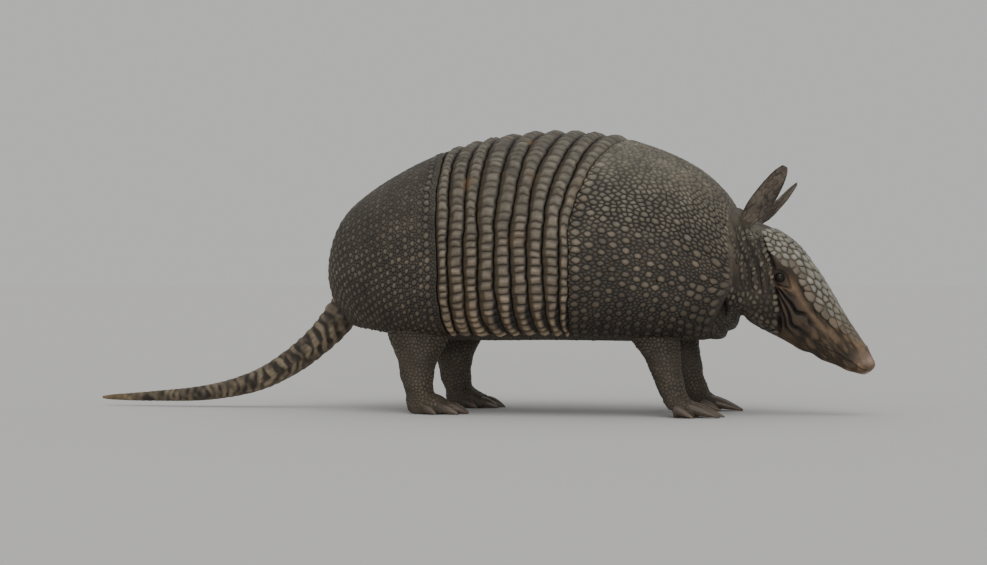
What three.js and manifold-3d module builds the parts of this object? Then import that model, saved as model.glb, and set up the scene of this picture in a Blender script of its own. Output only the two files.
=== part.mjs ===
// A nine-banded armadillo standing still, at life size.
// Millimetres. +X points to the head, +Y to the animal's left, +Z up. The feet stand on Z = 0, and the
// origin lies on the floor under the middle of the animal's length.
//
// The body is a stack of rings. A ring is a closed curve in a plane across the animal: it passes through
// a point on the back and a point on the belly, and is widest at its flank. Angles round a ring start at
// the back, and are positive towards the left.

import * as THREE from "three";
import { mergeVertices } from "three/addons/utils/BufferGeometryUtils.js";
import Module from "manifold-3d";

const wasm = await Module();
wasm.setup();

// ---------------------------------------------------------------- sizes

const PARTING = 0.3; // clearance where two pieces meet
const RING_SPACING = 28; // at least how far apart the trunk's rings lie between the bands
const FAIRNESS = 0.14; // how far a facet may lie from where it was drawn
const FOOT_FAIRNESS = 0.22;
const RING_SIDES = 25; // flat sides to a ring of the trunk
const SHELL_ROUND = 20; // of which the shell covers these
const SHELL_THICKNESS = 4;
const SHELL_TO_FLESH = 1.4; // clearance between the shell's inner face and the flesh
const RIM_ANGLE = THREE.MathUtils.degToRad(144); // where the shell's lower edge lies on a ring
const RIM_TO_BELLY = THREE.MathUtils.degToRad(24); // over which the flesh comes out to the belly

// Rings of the trunk from the tail's root to the throat: [back x, back z, belly x, belly z, half width].
const TRUNK_RINGS = [
  [-123.5, 84, -104, 63, 14],
  [-125.5, 104, -99, 61, 26.5],
  [-121.5, 126, -93, 59.5, 38.5],
  [-112, 145, -85, 58, 48.5],
  [-97, 159.2, -74, 56, 58],
  [-72, 174.8, -58, 54, 69],
  [-40, 189.6, -33, 52.5, 76.5],
  [0, 200.4, 3, 52, 79.5],
  [45, 205.2, 45, 52.5, 80],
  [90, 201.8, 88, 52.3, 79],
  [125, 191.8, 120, 52, 75.5],
  [152, 178.4, 143, 52.3, 70],
  [170, 162.8, 158, 53.5, 63],
  [180.5, 148, 170, 58, 56],
  [190, 129, 183, 68, 50],
];
const TRUNK_SHAPE = { flank: 0.56, upper: 2.1, lower: 3.6 };
const THROAT_RING = TRUNK_RINGS.length - 1;
const THROAT_NARROWING = 18; // how much narrower the flesh is than the shell at the throat

const NECK_RINGS = [
  [164, 136, 165, 61, 44],
  [176, 141.5, 178, 64.5, 44],
  [183, 142.5, 187, 69, 38],
];
const NECK_SHAPE = { flank: 0.5, upper: 2.2, lower: 2.2 };

// Rings of the head from the nape to the tip of the nose.
const HEAD_RINGS = [
  [183.4, 142.5, 187, 68.5, 38],
  [200, 137.8, 195, 64.2, 32],
  [213, 131.5, 204, 59, 29.5],
  [226, 121.5, 214, 54, 27],
  [238, 105.5, 224, 48.5, 23.5],
  [249, 88.5, 235, 43.5, 19.5],
  [259, 72, 246, 38, 16],
  [268, 58.8, 256, 33.8, 13.3],
  [275.5, 47.8, 265, 30.6, 11.3],
  [279.8, 40.8, 272, 29.2, 8.8],
  [281.2, 36, 277.5, 31.5, 4],
];
const HEAD_SHAPE = { flank: 0.52, upper: 2.1, lower: 2.3 };
const HEAD_SHIELD = { rear: 0.75, front: 6.2, angle: THREE.MathUtils.degToRad(62), thickness: 2.2 };
const EYE = { ring: 2.55, angle: THREE.MathUtils.degToRad(79), radius: 3.4, depth: 1.9 };

// The movable bands from the rump forward: the first border's x, and each band's width.
const RIDGE_BORDERS = { first: -31, widths: [11, 14.5, 11.5, 18.5, 16.5, 16, 15, 14.5, 17] };
const FLANK_BORDERS = { first: -21.5, widths: [8.3, 11.9, 10.3, 12.3, 11.8, 11.7, 11.6, 11.6, 6.6] };
const BANDS = RIDGE_BORDERS.widths.length;
const RIM_SWINGS = [2.5, 1.5, 1, 4, 4.5, 4, 4, 1.5, -1.5, -3]; // how far forward each border runs at the rim
const SWING_POWERS = { first: 2.2, later: 4 }; // how late it does so: the fourth border and on are later
const BAND_CREST = 1.7; // how far a band's middle stands above its borders

// Rings of the tail: [x, z, radius], from inside the rump to the tip.
const TAIL_RINGS = [
  [-106, 86, 12.4],
  [-117.7, 72, 12.5],
  [-133.5, 54.4, 11],
  [-156.7, 36, 9.6],
  [-186.2, 20.5, 7.9],
  [-225.3, 11.1, 5.8],
  [-273, 7.6, 3.7],
  [-304, 6.5, 2.1],
  [-313.2, 6.3, 0.9],
];
const TAIL_CUTS = [0.75, 3, 5.2, 8]; // where the tail's lengths start and end, in rings

// Legs: [z, x, y, half length, half width] down from the body, for the right side.
const HIND_LEG = [
  [76, -43, 38, 27, 15],
  [60, -44.5, 40.5, 25, 14.5],
  [50, -45.6, 41.5, 20.5, 14],
  [38, -45.8, 43, 14.8, 13],
  [26, -45.4, 44.2, 12.2, 11.5],
  [15, -43.4, 45, 11, 10.5],
  [6, -41, 45.5, 9.5, 10],
];
const FRONT_LEG = [
  [74, 120, 36, 24, 13],
  [58, 127.6, 38.5, 19.4, 13],
  [45, 133.4, 40.5, 14.4, 12],
  [32, 138, 42.5, 11.6, 10.5],
  [20, 142, 44, 10.3, 9.5],
  [13, 145, 44.8, 10, 9.2],
  [5, 149, 45.3, 8.5, 8.5],
];
const ANKLE_CUT = { hind: 13, front: 13 };

// Feet: [x, sole z, top z, half width] from the heel to the roots of the toes.
const HIND_FOOT = [
  [-52.5, 8, 13, 5],
  [-49.5, 2.2, 15, 9],
  [-44, 0, 17, 11.5],
  [-33, 0, 15, 13],
  [-22, 0, 8.5, 13],
];
const FRONT_FOOT = [
  [136.5, 11, 15, 5],
  [142, 7, 17, 9],
  [149, 2.6, 16.5, 11.5],
  [155, 0, 12.5, 12.5],
  [161, 0, 8.5, 12.5],
];
const FOOT_Y = 46;

// Toes from the outer to the inner: root and claw tip as [x, y], toe radius, and the claw's length.
const HIND_TOES = [
  { root: [-35, 57], tip: [-26, 62.5], radius: 4.2, claw: 8 },
  { root: [-25, 54], tip: [-10.5, 58], radius: 4.6, claw: 12 },
  { root: [-23, 46], tip: [-6.5, 46.5], radius: 4.9, claw: 13 },
  { root: [-24, 38], tip: [-9, 35.5], radius: 4.6, claw: 12 },
  { root: [-34, 35], tip: [-24, 29.5], radius: 4, claw: 8 },
];
const FRONT_TOES = [
  { root: [148, 57], tip: [160.5, 61.5], radius: 4.1, claw: 11 },
  { root: [158, 52], tip: [178, 54], radius: 4.8, claw: 20 },
  { root: [158.5, 42.5], tip: [179.5, 42], radius: 4.8, claw: 21 },
  { root: [151, 36], tip: [165, 32.5], radius: 4.1, claw: 12 },
];
const LEFT_STEP = { hind: 3.5, front: -0.5 }; // how much further forward the left feet stand

// Ears for the right side: base and tip, half width, and where the hollow faces.
const EARS = {
  right: { base: [189.5, -15, 137], tip: [220, -26.5, 177.2], faces: [0.55, -0.8, 0.1] },
  left: { base: [191, 15, 136], tip: [220.5, 32, 167.5], faces: [0.9, -0.05, -0.3] },
};
const EAR = { half: 9.2, thickness: 2.2, cup: 3.2 };

// ---------------------------------------------------------------- materials

const material = (color, roughness) => new THREE.MeshStandardMaterial({ color, roughness, metalness: 0 });
const SHELL = material(0x6f675b, 0.55);
const BAND = material(0x85796a, 0.55);
const SKIN = material(0x5d534a, 0.75);
const TAIL = material(0x7d6e5e, 0.65);
const CLAW = material(0x83736a, 0.45);
const EYEBALL = material(0x14100d, 0.12);

// ---------------------------------------------------------------- curves and rings

const mix = (a, b, share) => a + (b - a) * share;

/** The row of values at t, on smooth curves through the rows. Row i holds at t = i. */
function rowAt(rows, t) {
  const last = rows.length - 1;
  const i = Math.min(Math.max(Math.floor(t), 0), last - 1);
  const near = (k) => rows[Math.min(Math.max(k, 0), last)];
  const [a, b, c, d] = [near(i - 1), near(i), near(i + 1), near(i + 2)];
  const f = t - i;
  return b.map((value, k) => {
    const [start, end] = [(c[k] - a[k]) / 2, (d[k] - value) / 2];
    const rise = c[k] - value;
    return value + f * (start + f * (3 * rise - 2 * start - end + f * (start + end - 2 * rise)));
  });
}

/** How far a rounded square of this power reaches along an angle, where 2 is a circle. */
function reach(angle, power) {
  return (Math.abs(Math.cos(angle)) ** power + Math.abs(Math.sin(angle)) ** power) ** (-1 / power);
}

/** The point of a ring at an angle. */
function ringPoint([backX, backZ, bellyX, bellyZ, half], shape, angle) {
  const upper = Math.cos(angle) > 0;
  const out = reach(angle, upper ? shape.upper : shape.lower);
  const rise = Math.abs(Math.cos(angle)) * out;
  const flankX = mix(backX, bellyX, shape.flank);
  const flankZ = mix(backZ, bellyZ, shape.flank);
  return new THREE.Vector3(
    mix(flankX, upper ? backX : bellyX, rise),
    half * Math.sin(angle) * out,
    mix(flankZ, upper ? backZ : bellyZ, rise),
  );
}

/** A surface made of rings, as a function of t, the angle and how deep under it the point lies. */
function ringSurface(rows, shape) {
  const at = (t, angle) => ringPoint(rowAt(rows, t), shape, angle);
  return (t, angle, depth = 0) => {
    const point = at(t, angle);
    if (depth === 0) return point;
    const step = 1e-3;
    const lengthwise = at(t + step, angle).sub(at(t - step, angle));
    const round = at(t, angle + step).sub(at(t, angle - step));
    return point.addScaledVector(lengthwise.cross(round).normalize(), -depth);
  };
}

const trunkSurface = ringSurface(TRUNK_RINGS, TRUNK_SHAPE);
const headSurface = ringSurface(HEAD_RINGS, HEAD_SHAPE);

// ---------------------------------------------------------------- solids

/** A closed geometry as a solid with its faces out. */
function solid(geometry) {
  const bare = geometry.clone();
  bare.deleteAttribute("normal");
  bare.deleteAttribute("uv");
  const merged = mergeVertices(bare, 1e-4);
  const corners = new Uint32Array(merged.index.array);
  const build = () =>
    new wasm.Manifold(
      new wasm.Mesh({
        numProp: 3,
        vertProperties: new Float32Array(merged.attributes.position.array),
        triVerts: corners,
      }),
    );
  const made = build();
  if (made.volume() > 0) return made;
  corners.reverse();
  return build();
}

/** Moves every vertex of a geometry to where place(vertex) says. */
function mapped(geometry, place) {
  const position = geometry.attributes.position;
  const vertex = new THREE.Vector3();
  for (let i = 0; i < position.count; i++) {
    const moved = place(vertex.fromBufferAttribute(position, i));
    position.setXYZ(i, moved.x, moved.y, moved.z);
  }
  return geometry;
}

/** A closed tube whose wall is point(share along, angle), with flat ends. */
function tube(around, lengths, point) {
  const middle = (share) => {
    const sum = new THREE.Vector3();
    for (let i = 0; i < around; i++) sum.add(point(share, (i / around) * 2 * Math.PI));
    return sum.divideScalar(around);
  };
  const blank = new THREE.CylinderGeometry(1, 1, 1, around, lengths);
  return solid(
    mapped(blank, ({ x, y, z }) => {
      const share = y + 0.5;
      return Math.hypot(x, z) < 0.5 ? middle(share) : point(share, Math.atan2(x, z));
    }),
  );
}

/** A plate whose points are point(share along, share round, share through). */
function plate(along, round, point) {
  const blank = new THREE.BoxGeometry(1, 1, 1, along, round, 1).translate(0.5, 0.5, 0.5);
  return solid(mapped(blank, ({ x, y, z }) => point(x, y, z)));
}

/** A box between two corners. */
function block(low, high) {
  const size = high.map((value, i) => value - low[i]);
  const centre = high.map((value, i) => (value + low[i]) / 2);
  return solid(new THREE.BoxGeometry(...size).translate(...centre));
}

const largest = (made) => made.decompose().sort((a, b) => b.volume() - a.volume())[0];

// ---------------------------------------------------------------- the shell

/** The ring on which a border lies at an angle, where swing is how far forward it runs at the rim. */
function borderRing(angle, ridgeX, flankX, swing, power) {
  const turn = Math.abs(angle);
  const low = Math.max(0, (turn - Math.PI / 2) / (RIM_ANGLE - Math.PI / 2));
  const x = turn < Math.PI / 2 ? mix(flankX, ridgeX, Math.cos(turn) ** 2) : flankX + swing * low ** power;
  let [rear, front] = [0, THROAT_RING];
  for (let i = 0; i < 24; i++) {
    const middle = (rear + front) / 2;
    if (trunkSurface(middle, angle).x < x) rear = middle;
    else front = middle;
  }
  return (rear + front) / 2;
}

/** Border i between the bands, as a function of the angle. Border 0 is the pelvic shield's. */
function bandBorder(i) {
  const position = ({ first, widths }) => widths.slice(0, i).reduce((sum, width) => sum + width, first);
  const [ridge, flank] = [position(RIDGE_BORDERS), position(FLANK_BORDERS)];
  const power = mix(SWING_POWERS.first, SWING_POWERS.later, THREE.MathUtils.smoothstep(i, 0, 3));
  return (angle) => borderRing(angle, ridge, flank, RIM_SWINGS[i], power);
}

/** The shoulder shield's front edge: hollow over the nape, furthest forward on the flanks. */
function shieldFront(angle) {
  const turn = Math.abs(angle);
  if (turn < Math.PI / 2) return THROAT_RING - Math.cos(turn) ** 2;
  return THROAT_RING - 1.25 * ((turn - Math.PI / 2) / (RIM_ANGLE - Math.PI / 2)) ** 1.4;
}

/**
 * A piece of shell between two borders. crest(share along) says how far its outer face stands up, and
 * spare is added on every side, for the room that a neighbour leaves it.
 */
function shellPiece(rear, front, along, round, crest, spare = 0) {
  const cover = RIM_ANGLE + spare / TRUNK_RINGS[0][4] / 4;
  return plate(along, round, (a, b, c) => {
    const angle = mix(-cover, cover, b);
    const [start, end] = [rear(angle), front(angle)];
    const clearance = ((PARTING / 2 - spare) * (1 - 2 * a)) / RING_SPACING;
    const t = mix(start, end, a) + clearance;
    return trunkSurface(t, angle, c > 0.5 ? -crest(a) - spare : SHELL_THICKNESS + spare);
  });
}

const flat = () => 0;
const borders = Array.from({ length: BANDS + 1 }, (_, i) => bandBorder(i));
const shoulderShield = (spare) => shellPiece(borders[BANDS], shieldFront, 6, SHELL_ROUND, flat, spare);
const pelvicShield = (spare) => shellPiece(() => 0, borders[0], 7, SHELL_ROUND, flat, spare);
const crest = (a) => (a > 0.1 && a < 0.9 ? BAND_CREST : 0);
const band = (i) => shellPiece(borders[i], borders[i + 1], 2, SHELL_ROUND, crest);

// ---------------------------------------------------------------- flesh

/** How deep the trunk's flesh lies under the shell's outer face. */
function fleshDepth(angle) {
  const under = SHELL_THICKNESS + SHELL_TO_FLESH;
  const past = Math.min(1, Math.max(0, (Math.abs(angle) - RIM_ANGLE) / RIM_TO_BELLY));
  return under * (1 - past);
}

function trunk(spare = 0) {
  return tube(RING_SIDES, 11, (share, angle) => {
    const t = share * (THROAT_RING - 1);
    const turn = angle > Math.PI ? angle - 2 * Math.PI : angle;
    const point = trunkSurface(t, turn, fleshDepth(turn) - spare);
    const throat = Math.max(0, t - THROAT_RING + 3) / 2;
    point.y *= 1 - (throat * THROAT_NARROWING) / TRUNK_RINGS[THROAT_RING][4];
    return point;
  });
}

const neckSurface = ringSurface(NECK_RINGS, NECK_SHAPE);
const neckTube = () => tube(16, 2, (share, angle) => neckSurface(share * (NECK_RINGS.length - 1), angle));
const headEnd = HEAD_RINGS.length - 1;
const headTube = (spare = 0) => tube(14, 13, (share, angle) => headSurface(share * headEnd, angle, -spare));

/** The plate of bone on the forehead, or the bed that the head has for it. */
function headShield(bed = 0) {
  const { rear, front, angle: cover, thickness } = HEAD_SHIELD;
  return plate(7, 6, (a, b, c) => {
    const widest = cover * (1 - 0.25 * a) * Math.sqrt(Math.sin(Math.PI * mix(0.12, 0.9, a)));
    const angle = (2 * b - 1) * (widest + bed * 0.02);
    const t = mix(rear - bed * 0.05, front + bed * 0.05, a);
    return headSurface(t, angle, c > 0.5 ? -bed * 8 : thickness + bed * PARTING);
  });
}

/** An eyeball, or the socket for it. */
function eye(side, spare = 0) {
  const { ring, angle, radius, depth } = EYE;
  const centre = headSurface(ring, side * angle, depth);
  return solid(new THREE.SphereGeometry(radius + spare, 10, 7).translate(...centre));
}

/** A cupped leaf of an ear. The base lies in the head, and is cut off by it. */
function ear({ base, tip, faces }) {
  const [root, end] = [new THREE.Vector3(...base), new THREE.Vector3(...tip)];
  const axis = end.clone().sub(root);
  const front = new THREE.Vector3(...faces);
  front.addScaledVector(axis, -front.dot(axis) / axis.lengthSq()).normalize();
  const across = new THREE.Vector3().crossVectors(axis, front).normalize();
  root.addScaledVector(axis, -0.12);
  axis.multiplyScalar(1.12);
  return plate(7, 4, (u, v, through) => {
    const opening = 0.3 + 0.7 * Math.sin(Math.PI * Math.min(0.5, u));
    const half = EAR.half * opening * Math.sqrt(1 - 0.97 * u ** 3.2);
    const width = (2 * v - 1) * half;
    const cup = EAR.cup * ((width / EAR.half) ** 2 - 0.4 * (1 - u));
    const thick = mix(-0.5, 0.5, through) * EAR.thickness * (1 - 0.35 * u);
    return root
      .clone()
      .addScaledVector(axis, u)
      .addScaledVector(across, width)
      .addScaledVector(front, cup + thick);
  });
}

/** A length of the tail between two rings. */
function tailLength(start, end) {
  return tube(12, Math.max(4, Math.round((end - start) * 2)), (share, angle) => {
    const t = mix(start, end, share);
    const [x, z, radius] = rowAt(TAIL_RINGS, t);
    const [behindX, behindZ] = rowAt(TAIL_RINGS, t + 0.01);
    const along = new THREE.Vector3(behindX - x, 0, behindZ - z).normalize();
    const side = new THREE.Vector3(0, 1, 0);
    const up = new THREE.Vector3().crossVectors(along, side).multiplyScalar(-1);
    return new THREE.Vector3(x, 0, z)
      .addScaledVector(side, radius * Math.sin(angle))
      .addScaledVector(up, radius * Math.cos(angle));
  });
}

// ---------------------------------------------------------------- legs, feet and claws

/** The leg of one side, from inside the body down into the foot. */
function leg(rings, side, step) {
  return tube(10, 6, (share, angle) => {
    const [z, x, y, length, width] = rowAt(rings, share * (rings.length - 1));
    return new THREE.Vector3(x + step + length * Math.cos(angle), side * (y + width * Math.sin(angle)), z);
  });
}

/** The body of a foot, with a flat sole, or the room that the claws leave it. */
function footBody(rings, side, step, spare = 0) {
  return tube(10, 4, (share, angle) => {
    const [x, sole, top, half] = rowAt(rings, share * (rings.length - 1));
    const out = reach(angle, 2.6);
    const middle = mix(sole, top, 0.35);
    const z = middle + (top + spare - middle) * Math.cos(angle) * out;
    const width = (half + spare) * Math.sin(angle) * out;
    return new THREE.Vector3(x + step, side * (FOOT_Y + width), Math.max(z, sole - spare));
  });
}

/** Where a toe's root, its end and its claw's tip lie. */
function toeLine({ root, tip, claw }, side, step) {
  const start = new THREE.Vector3(root[0] + step, side * root[1], 0);
  const end = new THREE.Vector3(tip[0] + step, side * tip[1], 0);
  const way = end.clone().sub(start);
  const joint = end.clone().addScaledVector(way, -claw / way.length());
  return { start, joint, end, way: way.normalize() };
}

/** A tapering bar that lies on the floor: height(share) and width(share) are its half sizes. */
function floorBar(start, end, around, lengths, size) {
  const way = end.clone().sub(start);
  const across = new THREE.Vector3(-way.y, way.x, 0).normalize();
  return tube(around, lengths, (share, angle) => {
    const { half, low, high } = size(share);
    const out = reach(angle, 2.4);
    const z = mix(low, high, 0.5) + (high - mix(low, high, 0.5)) * Math.cos(angle) * out;
    return start
      .clone()
      .addScaledVector(way, share)
      .addScaledVector(across, half * Math.sin(angle) * out)
      .setZ(Math.max(z, low));
  });
}

function toe(spec, side, step, spare = 0) {
  const { start, joint } = toeLine(spec, side, step);
  const high = spec.radius * 2;
  return floorBar(start.clone().addScaledVector(joint.clone().sub(start), -0.8), joint, 7, 2, (share) => ({
    half: spec.radius * mix(1, 0.9, share) + spare,
    low: -spare,
    high: mix(high * 1.15, high * 0.82, share) + spare,
  }));
}

function claw(spec, side, step) {
  const { joint, end, way } = toeLine(spec, side, step);
  return floorBar(joint.clone().addScaledVector(way, PARTING), end, 7, 3, (share) => ({
    half: spec.radius * 0.78 * (1 - 0.86 * share ** 1.6),
    low: mix(0.9, 0.2, share),
    high: spec.radius * 1.5 * (1 - 0.85 * share ** 1.5) + 0.5,
  }));
}

// ---------------------------------------------------------------- the animal

const animal = new THREE.Group();

/** Adds one solid as a named mesh, free of edges that shape nothing. */
function add(name, made, finish, fairness = FAIRNESS) {
  const whole = largest(made).simplify(fairness);
  const mesh = whole.getMesh();
  const points = new Float32Array(mesh.numVert * 3);
  for (let i = 0; i < mesh.numVert; i++) {
    points.set(mesh.vertProperties.subarray(i * mesh.numProp, i * mesh.numProp + 3), i * 3);
  }
  const geometry = new THREE.BufferGeometry();
  geometry.setAttribute("position", new THREE.BufferAttribute(points, 3));
  geometry.setIndex(new THREE.BufferAttribute(mesh.triVerts, 1));
  geometry.computeVertexNormals();
  const node = new THREE.Mesh(geometry, finish);
  node.name = name;
  animal.add(node);
}

function addShell() {
  add("shoulder_shield", shoulderShield(), SHELL);
  add("pelvic_shield", pelvicShield(), SHELL);
  for (let i = 0; i < BANDS; i++) add(`band_${BANDS - i}`, band(i), BAND);
}

function addHead(neckCut) {
  const bare = headTube().subtract(headShield(1)).subtract(eye(1, PARTING)).subtract(eye(-1, PARTING));
  add("head", bare, SKIN);
  add("head_shield", headShield(), SHELL);
  const neck = neckTube().subtract(neckCut).subtract(shoulderShield(PARTING)).subtract(headTube(PARTING));
  add("neck", neck, SKIN);
  for (const [name, side] of [["right", -1], ["left", 1]]) {
    add(`eye_${name}`, eye(side), EYEBALL);
    const bud = ear(EARS[name]).subtract(headTube(PARTING)).subtract(neckTube());
    add(`ear_${name}`, bud, SKIN);
  }
}

function addTail() {
  const names = ["tail_base", "tail_middle", "tail_tip"];
  names.forEach((name, i) => {
    const gap = i > 0 ? 0.012 : 0;
    const piece = tailLength(TAIL_CUTS[i] + gap, TAIL_CUTS[i + 1]);
    add(name, i > 0 ? piece : piece.subtract(trunk(PARTING)).subtract(pelvicShield(PARTING)), TAIL);
  });
}

function addLimb(name, { legRings, footRings, toes, cut }, side, step, bodyCut) {
  const toed = (spare) =>
    toes.reduce((sum, spec) => sum.add(toe(spec, side, step, spare)), footBody(footRings, side, step, spare));
  const whole = toed(0).add(leg(legRings, side, step));
  const clawRoom = toed(PARTING + FAIRNESS);
  const far = 400;
  const upper = block([-far, -far, cut + PARTING / 2], [far, far, far]);
  const lower = block([-far, -far, -far], [far, far, cut - PARTING / 2]);
  const claws = toes.map((spec) => claw(spec, side, step));
  add(`${name}_leg`, whole.intersect(upper).subtract(bodyCut), SKIN);
  add(`${name}_foot`, whole.intersect(lower), SKIN, FOOT_FAIRNESS);
  claws.forEach((made, i) => add(`${name}_claw_${i + 1}`, made.subtract(clawRoom), CLAW));
}

function addLimbs(bodyCut) {
  const hind = { legRings: HIND_LEG, footRings: HIND_FOOT, toes: HIND_TOES, cut: ANKLE_CUT.hind };
  const front = { legRings: FRONT_LEG, footRings: FRONT_FOOT, toes: FRONT_TOES, cut: ANKLE_CUT.front };
  for (const [name, side] of [["right", -1], ["left", 1]]) {
    addLimb(`hind_${name}`, hind, side, side > 0 ? LEFT_STEP.hind : 0, bodyCut);
    addLimb(`front_${name}`, front, side, side > 0 ? LEFT_STEP.front : 0, bodyCut);
  }
}

const grownTrunk = trunk(PARTING);
addShell();
add("trunk", trunk(), SKIN);
addHead(grownTrunk);
addTail();
addLimbs(grownTrunk.add(shoulderShield(PARTING)).add(pelvicShield(PARTING)));

// The origin comes under the middle of the animal.
const box = new THREE.Box3().setFromObject(animal);
animal.position.set(-(box.min.x + box.max.x) / 2, -(box.min.y + box.max.y) / 2, -box.min.z);

export default animal;
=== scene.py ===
"""The looks of a nine-banded armadillo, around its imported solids.

Shapes are worked out in millimetres, with X forward from the middle of the picture, Y to the animal's left
and Z up from the floor, and are moved into the frame's metres when their meshes are made. The body is a
stack of rings, as in the solids: t counts the rings, and angles round a ring start at the back.
"""

import math

import bmesh
import bpy
import numpy as np
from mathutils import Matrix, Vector
from mathutils.kdtree import KDTree


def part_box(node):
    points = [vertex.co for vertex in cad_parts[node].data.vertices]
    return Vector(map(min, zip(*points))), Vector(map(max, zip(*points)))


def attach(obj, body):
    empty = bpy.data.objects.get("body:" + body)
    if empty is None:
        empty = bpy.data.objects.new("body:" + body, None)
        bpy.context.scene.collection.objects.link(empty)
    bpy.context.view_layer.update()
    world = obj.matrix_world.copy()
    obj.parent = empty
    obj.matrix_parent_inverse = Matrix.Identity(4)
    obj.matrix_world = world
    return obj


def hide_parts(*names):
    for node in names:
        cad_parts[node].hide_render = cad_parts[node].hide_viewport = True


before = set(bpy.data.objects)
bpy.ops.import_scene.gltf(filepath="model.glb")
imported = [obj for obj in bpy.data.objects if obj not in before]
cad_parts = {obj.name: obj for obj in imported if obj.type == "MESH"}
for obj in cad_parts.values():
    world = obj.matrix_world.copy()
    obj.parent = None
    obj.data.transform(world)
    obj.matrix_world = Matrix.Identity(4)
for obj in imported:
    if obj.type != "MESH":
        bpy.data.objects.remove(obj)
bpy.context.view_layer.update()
MM = 0.001

# ---------------------------------------------------------------- sizes of the solids, in millimetres

TRUNK_RINGS = [  # back x, back z, belly x, belly z, half width, from the tail's root to the throat
    (-123.5, 84, -104, 63, 14),
    (-125.5, 104, -99, 61, 26.5),
    (-121.5, 126, -93, 59.5, 38.5),
    (-112, 145, -85, 58, 48.5),
    (-97, 159.2, -74, 56, 58),
    (-72, 174.8, -58, 54, 69),
    (-40, 189.6, -33, 52.5, 76.5),
    (0, 200.4, 3, 52, 79.5),
    (45, 205.2, 45, 52.5, 80),
    (90, 201.8, 88, 52.3, 79),
    (125, 191.8, 120, 52, 75.5),
    (152, 178.4, 143, 52.3, 70),
    (170, 162.8, 158, 53.5, 63),
    (180.5, 148, 170, 58, 56),
    (190, 129, 183, 68, 50),
]
TRUNK_SHAPE = (0.56, 2.1, 3.6)  # where the flank lies, and how square a ring is above and below it
THROAT_RING = len(TRUNK_RINGS) - 1
RIM_ANGLE = math.radians(144)
RING_SPACING = 28  # about how far apart the rings lie between the bands
BANDS = 9
# The bands from the rump forward, on the ridge and on the flanks: the first border's x, and each width.
RIDGE_BORDERS = (-31, (11, 14.5, 11.5, 18.5, 16.5, 16, 15, 14.5, 17))
FLANK_BORDERS = (-21.5, (8.3, 11.9, 10.3, 12.3, 11.8, 11.7, 11.6, 11.6, 6.6))
RIM_SWINGS = (2.5, 1.5, 1, 4, 4.5, 4, 4, 1.5, -1.5, -3)  # how far forward each border runs at the rim
SWING_POWERS = (2.2, 4)  # how late it does so: the first border, and the fourth and later ones

# The frame's origin, from the tail's tip.
TAIL_TIP_X = -313.2
SHIFT = np.array([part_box("tail_tip")[0][0] / MM - TAIL_TIP_X, 0, 0])

# ---------------------------------------------------------------- curves and rings


def mix(a, b, share):
    return a + (b - a) * share


def smooth(low, high, value):
    share = np.clip((value - low) / (high - low), 0, 1)
    return share * share * (3 - 2 * share)


def between(start, full, fading, end, value):
    """A share that rises from 0 at start to 1 at full, and falls from there at fading to 0 at end."""
    return smooth(start, full, value) * (1 - smooth(fading, end, value))


def ridge(value, middle, width):
    """A share that is 1 in the middle and falls off to both sides, over about this width."""
    return np.exp(-(((value - middle) / width) ** 2))


def row_at(rows, t):
    """The row of values at t, on smooth curves through the rows. Row i holds at t = i."""
    rows = np.asarray(rows, float)
    last = len(rows) - 1
    t = np.asarray(t, float)
    i = np.clip(np.floor(t).astype(int), 0, last - 1)
    f = (t - i)[..., None]
    a, b = rows[np.maximum(i - 1, 0)], rows[i]
    c, d = rows[i + 1], rows[np.minimum(i + 2, last)]
    start, end, rise = (c - a) / 2, (d - b) / 2, c - b
    return b + f * (start + f * (3 * rise - 2 * start - end + f * (start + end - 2 * rise)))


def reach(angle, power):
    """How far a rounded square of this power reaches along an angle, where 2 is a circle."""
    return (np.abs(np.cos(angle)) ** power + np.abs(np.sin(angle)) ** power) ** (-1 / power)


def ring_points(rows, shape, t, angle):
    flank, upper, lower = shape
    t, angle = np.broadcast_arrays(np.asarray(t, float), np.asarray(angle, float))
    row = row_at(rows, t)
    back, belly, half = row[..., 0:2], row[..., 2:4], row[..., 4]
    is_upper = np.cos(angle) > 0
    out = reach(angle, np.where(is_upper, upper, lower))
    rise = (np.abs(np.cos(angle)) * out)[..., None]
    middle = mix(back, belly, flank)
    xz = mix(middle, np.where(is_upper[..., None], back, belly), rise)
    return np.stack([xz[..., 0], half * np.sin(angle) * out, xz[..., 1]], -1)


def unit(v):
    return v / np.maximum(np.linalg.norm(v, axis=-1, keepdims=True), 1e-9)


def ring_surface(rows, shape):
    """A surface made of rings, as a function of t, the angle and the height over it."""
    step = 1e-3  # of t and angle, to find the slope

    def at(t, angle, height=0.0):
        point = ring_points(rows, shape, t, angle)
        along = ring_points(rows, shape, t + step, angle) - ring_points(rows, shape, t - step, angle)
        across = ring_points(rows, shape, t, angle + step) - ring_points(rows, shape, t, angle - step)
        return point + unit(np.cross(along, across)) * np.asarray(height)[..., None]

    return at


trunk_surface = ring_surface(TRUNK_RINGS, TRUNK_SHAPE)

# ---------------------------------------------------------------- meshes


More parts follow.
